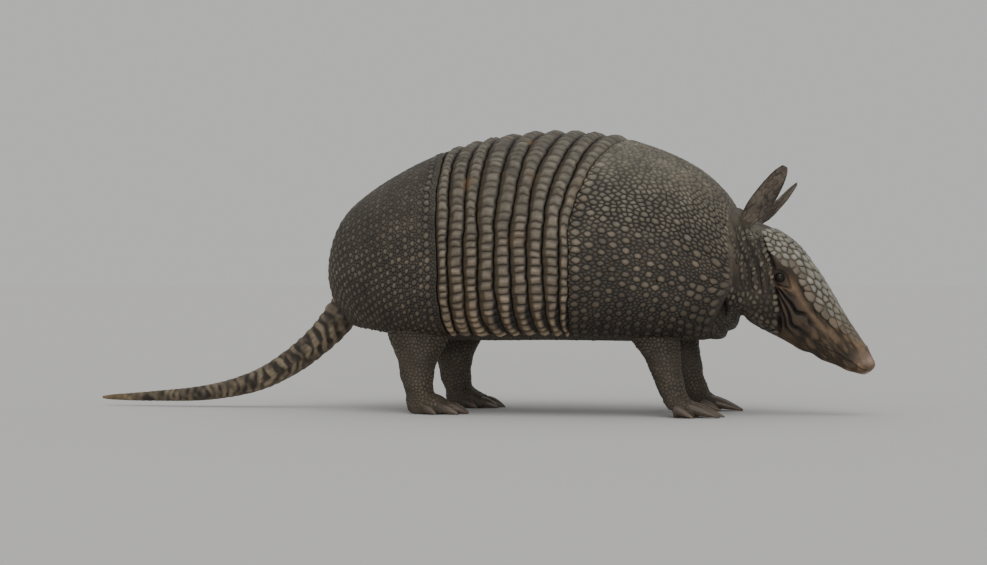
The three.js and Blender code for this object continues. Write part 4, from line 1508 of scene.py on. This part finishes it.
def leg_scales(points, normals):
    """Small scales on the legs, on the feet behind the toes and on the chest."""
    dice = np.random.default_rng(91)
    x, y, z = points.T
    side = np.abs(y)
    legs = (z > 6) & (z < 62) & (side > 20) & (x < 170)
    foot_x = np.where(x < 50, -28, 156)
    legs &= ~((z < 11) & (x > foot_x))
    chest = (x > 158) & (x < 200) & (z > 50) & (z < 74) & (side < 46)
    outer = np.flatnonzero(legs | chest)
    size = mix(2.5, 3.4, 0.5 + 0.5 * waves(points[outer], 18, 92)) * mix(0.8, 1, smooth(10, 22, z[outer]))
    kept = spread(points[outer], size * 0.78, dice)
    chosen, size = outer[kept], size[kept] * dice.uniform(0.85, 1.15, len(kept))
    places, facing = points[chosen], normals[chosen]
    light = smooth(-0.3, 0.9, waves(places, 12, 93))
    light = (light + 0.5 * smooth(0.2, 0.9, waves(places, 5, 95))).clip(0, 1)
    tint = mix(LEG_SCALE * 0.8, LEG_SCALE * 1.15, light[:, None]) * dice.normal(1, 0.07, (len(kept), 1))
    x, y, z = places.T
    # The front legs' scales are darker, and those in the hollow beside the throat get painted shadow.
    tint = tint * mix(1, 0.85, x > 50)[:, None] * mix(1, 0.3, pocket_shade(places))[:, None]
    height = size * 0.14 * dice.uniform(0.7, 1.2, len(kept))
    # Each leg has a quarter of the bake map, unrolled round its middle.
    angle = np.arctan2(y - np.sign(y) * 43, x - np.where(x < 50, -45, 140))
    across = (x > 50) * 0.5 + 0.46 * (angle / (2 * math.pi) + 0.5)
    roots = np.stack([across, 0.1 + z / 90 * 0.4 + (y > 0) * 0.45], 1)
    up = np.tile([0.0, 0.0, 1.0], (len(kept), 1)) + 1e-3
    build = Scales(1.6, SMALL_SCALE, gap=0.25, rounding=0.5, softness=1.3)
    build.add(places, facing, up, size, height, tint, LEG_SCALE * 0.6, roots)
    return build.finish("leg_scales")


def neck_scales(points, normals, marks):
    """Beads in upright rows on the neck's folds, and round pale scales low on the cheeks."""
    dice = np.random.default_rng(94)
    high = smooth(84, 98, marks.points[:, 2])
    allowed = (marks.behind > 0.4) & (marks.behind < 31) & (marks.turn > 34) & (marks.points[:, 2] < 132)
    allowed &= (points[:, 0] > 182) & (marks.turn < 160)
    allowed &= (high < 0.5) | ((marks.fold > 0.1) & (marks.behind < 22))
    usable = np.flatnonzero(allowed)
    low = 1 - high
    size = mix(2.9, 3.7, low[usable])
    kept = spread(points[usable], size * 0.95, dice)
    chosen, size = usable[kept], size[kept] * dice.uniform(0.85, 1.15, len(kept))
    low = low[chosen]
    is_light = dice.uniform(0, 1, len(kept)) < mix(0.75, 0.45, low)
    tint = mix(NECK_SCALE, CHEEK_SCALE, low[:, None]) * dice.normal(1, 0.1, (len(kept), 1))
    tint = tint * np.where(is_light, 1.1, 0.6)[:, None]
    height = size * mix(0.16, 0.24, low) * (1 - 0.6 * smooth(125, 155, marks.turn[chosen]))
    height = height * np.where(is_light, 1, 0.5)
    size = size * np.where(is_light, 1.15, 0.85)
    across = 0.02 + 0.46 * (marks.angle[chosen] / (2 * math.pi) + 0.5)
    roots = np.stack([across, marks.t[chosen] / 10 * 0.9], 1)
    up = np.tile([0.15, 0.0, 1.0], (len(kept), 1))
    build = Scales(1.2, CHEEK_DOME, gap=0.5, rounding=0.85, softness=1.5)
    build.add(points[chosen], normals[chosen], up, size, height, tint, SKIN_DARK, roots, mix(1.6, 1.05, low))
    return build.finish("neck_scales")


HEAD_SCUTE_SIZES = [  # ring, and a scute's width there
    (0.6, 3.0), (1.2, 3.6), (2.0, 4.5), (3.0, 5.2), (4.0, 6.2), (4.8, 6.2), (6.0, 4.6), (7.8, 2.8),
]
HEAD_RING_SPACING = 15.5  # about how far apart the head's rings lie
HEAD_SCUTE_BASE = -0.35  # height of the scutes' places over the solid


def scute_size(t, angle):
    """A scute's width: smaller at the shield's edge, and most so at the back."""
    at_edge = smooth(30, 58, np.degrees(np.abs(angle)))
    return table(HEAD_SCUTE_SIZES, t) * mix(1, mix(0.66, 0.85, smooth(1.5, 3, t)), at_edge)


def scute_spots(dice):
    """Ring and angle of each scute: a row along the middle, and others in mirrored pairs."""
    t, angle = np.meshgrid(np.linspace(0.6, 7.8, 330), np.radians(np.linspace(0, 72, 150)), indexing="ij")
    t, angle = t.ravel(), angle.ravel()
    turn = np.degrees(angle)
    inside = (turn < table(SHIELD_EDGE, t) - 2.2) & (turn >= table(CROWN_EDGE, t))
    t, angle = t[inside], angle[inside]
    places = head_surface(t, angle, 0.0)
    size = scute_size(t, angle)
    usable = np.flatnonzero(places[:, 1] > size * 0.36)
    kept = usable[spread(places[usable], size[usable] * 0.9, dice)]
    rows = [2.35]
    while rows[-1] < 7.4:
        rows.append(rows[-1] + table(HEAD_SCUTE_SIZES, rows[-1]) * 1.1 / HEAD_RING_SPACING)
    middle = np.stack([np.array(rows), dice.normal(0, 0.01, len(rows))], 1)
    sides = np.concatenate([np.stack([t[kept], side * angle[kept]], 1) for side in (1, -1)])
    sides += dice.normal(0, 1, sides.shape) * np.array([0.02, 0.012])
    return np.concatenate([sides, middle]).T


def head_shield():
    """The forehead's scutes: small behind, large between the eyes and long towards the muzzle."""
    dice = np.random.default_rng(97)
    t, angle = scute_spots(dice)
    places = head_surface(t, angle, HEAD_SCUTE_BASE)
    normals = unit(head_surface(t, angle, 1.0) - places)
    ahead = unit(head_surface(t + 0.05, angle, HEAD_SCUTE_BASE) - places)
    size = scute_size(t, angle) * 1.12
    stretch = np.interp(t, [0.6, 2.0, 5, 7.8], [1.15, 1.4, 1.6, 2.0])
    far = smooth(4.6, 7.0, t)
    # Scutes grow browner towards the muzzle, and browner and darker towards the shield's lower edge: there
    # partly their own colour, partly painted shade on the side of the head.
    rim = smooth(14, 0, table(SHIELD_EDGE, t) - np.degrees(np.abs(angle)))
    brown = np.clip(0.75 * far + 0.8 * rim * smooth(2, 3, t) + dice.normal(0.12, 0.09, len(t)), 0, 1)
    tint = mix(HEAD_GREY, HEAD_BROWN, brown[:, None]) * dice.normal(1, 0.1, (len(t), 1)).clip(0.7, 1.3)
    height = size * mix(0.19, 0.1, far)
    roots = np.stack([0.5 + 0.3 * angle, t / 10], 1)
    build = Scales(1.4, HEAD_SCALE, gap=0.18, rounding=0.75, softness=1.9)
    build.add(places, normals, ahead, size, height, tint, SHIELD_GAP, roots, stretch, 0.8)
    return build.finish("head_scutes")


# ---------------------------------------------------------------- tail

TAIL_RINGS = [  # x, z, radius
    (-106, 86, 12.4),
    (-117.7, 72, 12.5),
    (-133.5, 54.4, 11),
    (-156.7, 36, 9.6),
    (-186.2, 20.5, 7.9),
    (-225.3, 11.1, 5.8),
    (-273, 7.6, 3.7),
    (-304, 6.5, 2.1),
    (-313.2, 6.3, 0.9),
]
TAIL_LIGHT = rgb(0x7E705B)
TAIL_DARK = rgb(0x2B241C)
TAIL_TIP = rgb(0x7B6849)
TAIL_START = 0.55  # the ring where the tail starts, inside the rump
TAIL_SAMPLES = 3000
TAIL_STEP = 0.72
TAIL_SIDES = 120
RING_WIDTHS = (9.0, 5.0)  # of the tail's rings, at its root and along its rear half
RELIEF_RADIUS = 12.5  # where the tail is this thick, its scutes have their full relief
RING_BEND = (112, 3.2, 11)  # angle where a ring lies furthest back, how far, and how far forward below it
SCUTES_ROUND = 18  # scutes in a ring


def tail_line():
    """Rows of x, z and radius at even steps along the tail, and how far along they lie."""
    t = np.linspace(TAIL_START, len(TAIL_RINGS) - 1, TAIL_SAMPLES)
    rows = row_at(TAIL_RINGS, t)
    far = np.concatenate([[0], np.cumsum(np.linalg.norm(np.diff(rows[:, :2], axis=0), axis=1))])
    along = np.linspace(0, far[-1], int(far[-1] / TAIL_STEP))
    return row_at(TAIL_RINGS, np.interp(along, far, t)), along[:, None]


def ring_phase(along, low, warp):
    """Which ring of the tail a point lies in, and how far through it."""
    step = along[-1, 0] / len(along)
    width = mix(*RING_WIDTHS, smooth(40, 200, along))
    turned, back, forward = RING_BEND
    under = np.clip((low - turned) / (180 - turned), 0, 1)
    bend = np.where(low < turned, back * (low / turned) ** 1.5, back - forward * under**0.9)
    straight = smooth(90, 190, along)
    return np.cumsum(step / width[:, 0])[:, None] + (bend * (1 - straight) + warp) / RING_WIDTHS[0]


def tail():
    """Rings of raised pale scutes with dark chevrons between them, finer towards the tip."""
    row, along = tail_line()
    x, z, radius = np.moveaxis(row[:, None, :], -1, 0)
    turn = np.linspace(-math.pi, math.pi, TAIL_SIDES, endpoint=False)[None, :]
    low = np.degrees(np.abs(turn))
    flat = np.stack(np.broadcast_arrays(along, radius * turn, 0 * turn), -1)

    def noise(size, seed, squeeze=1.0):
        return waves((flat * (1.0, squeeze, 1.0)).reshape(-1, 3), size, seed).reshape(flat.shape[:2])

    warp = noise(15, 101) * mix(1.6, 4.5, smooth(5, 90, along)) + noise(5, 104) * 1.5
    phase = ring_phase(along, low, warp)
    light = between(0.14, 0.3, 0.66, 0.86, phase - np.floor(phase))
    column = (turn / (2 * math.pi) + 0.5) * SCUTES_ROUND + 0.5 * (np.floor(phase) % 2)
    pillow = 1 - np.abs(2 * (column - np.floor(column)) - 1) ** 4
    mottle, fine = noise(7, 102), noise(3, 103, 0.6)
    rough = smooth(30, 110, along)
    scale = radius / RELIEF_RADIUS
    height = light * (0.55 * pillow + 0.25) * mix(1, 0.6, rough) * scale + 0.16 * fine * scale - 0.35 * scale
    ahead = unit(np.gradient(row[:, :2], axis=0))
    out, up = (radius + height), np.cos(turn)
    points = np.stack([x + out * up * ahead[:, 1:], out * np.sin(turn), z - out * up * ahead[:, :1]], -1)
    share = light * (0.7 + 0.3 * pillow) * (0.72 + 0.5 * mottle) + 0.22 * fine
    mixed = mix(0.2, 0.75, smooth(90, 190, along)) * rough
    share = mix(share, 0.4 + 0.35 * mottle + 0.4 * fine, mixed)
    share = mix(share, 0.55, 0.5 * smooth(125, 175, low))
    colour = mix(TAIL_DARK, TAIL_LIGHT, np.clip(share, 0, 1)[..., None])
    length = along[-1, 0]
    colour = mix(colour, TAIL_TIP, 0.7 * smooth(length - 40, length - 5, along)[..., None])
    body, faces = closed_loft(points)
    u, v = np.linspace(0, 1, len(along)), np.linspace(0, 1, TAIL_SIDES)
    flat_map = np.stack(np.meshgrid(u, v, indexing="ij"), -1).reshape(-1, 2)
    tint = np.concatenate([colour.reshape(-1, 3), colour[[0, -1], 0]])
    return make_mesh("tail_rings", body, faces, tint, np.concatenate([flat_map, [[0, 0.5], [1, 0.5]]]))


# ---------------------------------------------------------------- eyes and claws

HORN = rgb(0x4F453B)
HORN_TIP = rgb(0x605448)
PUPIL = rgb(0x060504)
IRIS = rgb(0x2A1C12)
EYE_RIM = rgb(0x2B221D)
EYE_MESH = (40, 48)  # rings from the front to the back, and sides
CLAW_SHAPE = {  # how stout claws are, how late they taper and how high their tips lie
    "front": (1.28, 1.45, 2.4),
    "hind": (1.0, 2.1, 0.8),
}


def eyeball(side_name):
    """A ball with a bulging front, coloured from its pupil out."""
    side = SIDES[side_name]
    rings, around = EYE_MESH
    polar = np.linspace(0.02, math.pi - 0.02, rings)[:, None]
    turn = full_turn(around)[None, :]
    out, _, up = eye_axes(side)
    bulge = EYE_RADIUS * (1 + 0.045 * ridge(polar, 0, 0.55))
    across = np.cross(out, up)
    points = (eye_centre(side) + (bulge * np.cos(polar) * np.ones_like(turn))[..., None] * out
              + (bulge * np.sin(polar) * np.cos(turn))[..., None] * up
              + (bulge * np.sin(polar) * np.sin(turn))[..., None] * across)
    body, faces = closed_loft(points)
    share = np.concatenate([np.broadcast_to(polar, EYE_MESH).ravel(), [0, math.pi]])[:, None]
    tint = mix(PUPIL, IRIS, between(0.42, 0.5, 0.75, 0.95, share))
    tint = mix(tint, EYE_RIM, smooth(0.85, 1.1, share))
    return make_mesh(f"eyeball_{side_name}", body, faces, tint)


def claws(limb, side_name):
    """The claws of one foot, with fine streaks along them."""
    _, _, toes, ahead = LIMBS[limb]
    stout, fullness, tip = CLAW_SHAPE[limb]
    side = SIDES[side_name]
    around = BODY_SIDES["claw"]
    bodies, tints = [], []
    for spec in toes:
        _, joint, end, way = toe_line(spec, side, ahead if side > 0 else 0)
        share = np.linspace(0, 1, 26) ** 0.85
        taper = spec[2] * stout * (1 - 0.93 * share**fullness)
        low = tip * (1 - share) ** 1.2 + 0.15
        high = np.maximum(1.8 * taper + 0.25, low + 0.3)
        body, faces = floor_bar(joint - way * 2.6, end, share, 0.96 * taper, low, high, around, 2.15)
        bodies.append((body, faces))
        level = np.concatenate([np.repeat(share, around), [0, 1]])
        streak = waves(body * np.array([0.3, 1.0, 1.0]), 3.0, 111)
        tints.append(mix(HORN, HORN_TIP, smooth(0.2, 1, level)[:, None]) * (1 + 0.1 * streak)[:, None])
    points, faces = joined(bodies)
    return make_mesh(f"{limb}_{side_name}_nails", points, faces, np.concatenate(tints))


# ---------------------------------------------------------------- materials


def new_material(name):
    """A material with its nodes, and its shader."""
    material = bpy.data.materials.new(name)
    material.use_nodes = True
    return material, material.node_tree, material.node_tree.nodes["Principled BSDF"]


def feed(tree, node, sockets):
    """Sets a node's sockets to values, or links them to other nodes' sockets."""
    for name, value in sockets.items():
        if isinstance(value, bpy.types.NodeSocket):
            tree.links.new(value, node.inputs[name])
        else:
            node.inputs[name].default_value = value


def add_node(tree, kind, output, sockets, **settings):
    """Adds a node, and gives its output."""
    node = tree.nodes.new("ShaderNode" + kind)
    for name, value in settings.items():
        setattr(node, name, value)
    feed(tree, node, sockets)
    return node.outputs[output]


def noise_node(tree, place, scale, **more):
    return add_node(tree, "TexNoise", "Fac", {"Vector": place, "Scale": scale, **more})


def range_node(tree, value, from_min, from_max, to_min, to_max):
    return add_node(tree, "MapRange", "Result", {
        "Value": value, "From Min": from_min, "From Max": from_max, "To Min": to_min, "To Max": to_max})


def tint_node(tree, share):
    """The piece's own tints, times this share."""
    tint = add_node(tree, "Attribute", "Color", {}, attribute_name="tint")
    return add_node(tree, "VectorMath", "Vector", {0: tint, "Scale": share}, operation="SCALE")


def horn_material(name, roughness, bump, grain):
    """A dry horny surface in the piece's own tints."""
    material, tree, shader = new_material(name)
    place = add_node(tree, "TexCoord", "Object", {})
    fine = noise_node(tree, place, grain, Detail=6)
    broad = noise_node(tree, place, grain / 9, Detail=4)
    both = add_node(tree, "Math", 0, {0: fine, 1: 0.7, 2: broad}, operation="MULTIPLY_ADD")
    feed(tree, shader, {
        "Base Color": tint_node(tree, range_node(tree, both, 0.55, 1.15, 0.62, 1.4)),
        "Roughness": range_node(tree, fine, 0.3, 0.75, roughness - 0.12, roughness + 0.14),
        "Normal": add_node(tree, "Bump", "Normal", {"Strength": 0.5, "Distance": bump * MM, "Height": fine}),
        "Specular IOR Level": 0.4,
    })
    return material


def eye_material():
    """A dark wet eye in its own tints, with a faint grain in the iris."""
    material, tree, shader = new_material("eye")
    grain = noise_node(tree, add_node(tree, "TexCoord", "Object", {}), 1600)
    feed(tree, shader, {
        "Base Color": tint_node(tree, grain),
        "Roughness": range_node(tree, grain, 0, 1, 0.1, 0.26),
        "Specular IOR Level": 0.3,
        "Coat Weight": 0.2,
        "Coat Roughness": 0.05,
    })
    return material


# ---------------------------------------------------------------- floor, light and camera

CAMERA_TURN = math.radians(15)  # towards the head from straight on
CAMERA_DISTANCE = 1.730
CAMERA_HEIGHT = 0.095
LENS_PER_FRAME = 2338 / 987  # the lens's length over the frame's width
SENSOR_WIDTH = 36
FLOOR_RADIUS = 60
FLOOR_COLOUR = (0.68, 0.675, 0.66, 1)
STUDIO_COLOUR = (0.8, 0.8, 0.79, 1)
STUDIO_STRENGTH = 0.7
KEY_WIDTH = 50  # of the light from above in degrees, which makes it as soft as a large studio lamp
FILL_WIDTH = 14  # and of the low one from the camera's side


def stage():
    """The pale floor and the studio's light."""
    bpy.ops.mesh.primitive_circle_add(vertices=96, radius=FLOOR_RADIUS, fill_type="NGON")
    floor = bpy.context.object
    floor.name = "floor"
    material, tree, shader = new_material("floor")
    feed(tree, shader, {"Base Color": FLOOR_COLOUR, "Roughness": 0.9, "Specular IOR Level": 0.1})
    floor.data.materials.append(material)

    world = bpy.data.worlds.new("studio")
    world.use_nodes = True
    background = world.node_tree.nodes["Background"]
    feed(world.node_tree, background, {"Color": STUDIO_COLOUR, "Strength": STUDIO_STRENGTH})
    bpy.context.scene.world = world

    sun("key", (0.25, -0.55, 1.0), 0.8, KEY_WIDTH)
    sun("fill", (0.27, -1.0, 0.12), 0.7, FILL_WIDTH)


def sun(name, way, strength, width):
    """A broad soft light from this way."""
    data = bpy.data.lights.new(name, "SUN")
    data.angle = math.radians(width)
    data.energy = strength
    thing = bpy.data.objects.new(name, data)
    thing.rotation_euler = (-Vector(way)).to_track_quat("-Z", "Y").to_euler()
    bpy.context.scene.collection.objects.link(thing)


def camera():
    """The photo's view: level, from the animal's right and a little towards its head."""
    data = bpy.data.cameras.new("camera")
    data.sensor_width = SENSOR_WIDTH
    data.lens = LENS_PER_FRAME * SENSOR_WIDTH
    data.clip_end = 60
    thing = bpy.data.objects.new("camera", data)
    way = Vector((math.sin(CAMERA_TURN), -math.cos(CAMERA_TURN), 0))
    target = Vector((SHIFT[0] * MM, 0, CAMERA_HEIGHT))
    thing.location = target + way * CAMERA_DISTANCE
    thing.rotation_euler = (-way).to_track_quat("-Z", "Y").to_euler()
    bpy.context.scene.collection.objects.link(thing)
    bpy.context.scene.camera = thing


# ---------------------------------------------------------------- the animal


def dress(thing, material, slot, *nodes):
    """Gives a piece its material, and says which solids it replaces. Its slot is not used."""
    thing.data.materials.append(material)
    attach(thing, "root")
    if nodes:
        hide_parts(*nodes)


def main():
    stage()
    camera()
    scute_horn = horn_material("scute_horn", 0.55, 0.25, 900)
    skin_look = horn_material("skin", 0.68, 0.3, 700)
    nail_look = horn_material("nail", 0.42, 0.1, 500)
    eye_look = eye_material()
    dress(pelvic_shield(), scute_horn, "shell", "pelvic_shield")
    dress(shoulder_shield(), scute_horn, "shell", "shoulder_shield")
    for i in range(BANDS):
        dress(band_plate(i), scute_horn, "band", f"band_{BANDS - i}")
    dress(tail(), scute_horn, "tail", "tail_base", "tail_middle", "tail_tip")
    whole = skin()
    feet = [f"{limb}_{side}_{part}" for limb in LIMBS for side in SIDES for part in ("leg", "foot")]
    dress(whole, skin_look, "skin", "trunk", "neck", "head", "ear_right", "ear_left", *feet)
    points, normals = points_of(whole.data)
    dress(leg_scales(points, normals), scute_horn, "skin")
    front = np.flatnonzero((points[:, 0] > HEAD_FROM) & (points[:, 2] < 140))
    dress(neck_scales(points[front], normals[front], HeadMarks(points[front])), scute_horn, "skin")
    dress(head_shield(), scute_horn, "shell", "head_shield")
    for side in SIDES:
        dress(eyeball(side), eye_look, "eye", f"eye_{side}")
        for limb, (_, _, toes, _) in LIMBS.items():
            nodes = [f"{limb}_{side}_claw_{k + 1}" for k in range(len(toes))]
            dress(claws(limb, side), nail_look, "claw", *nodes)


main()
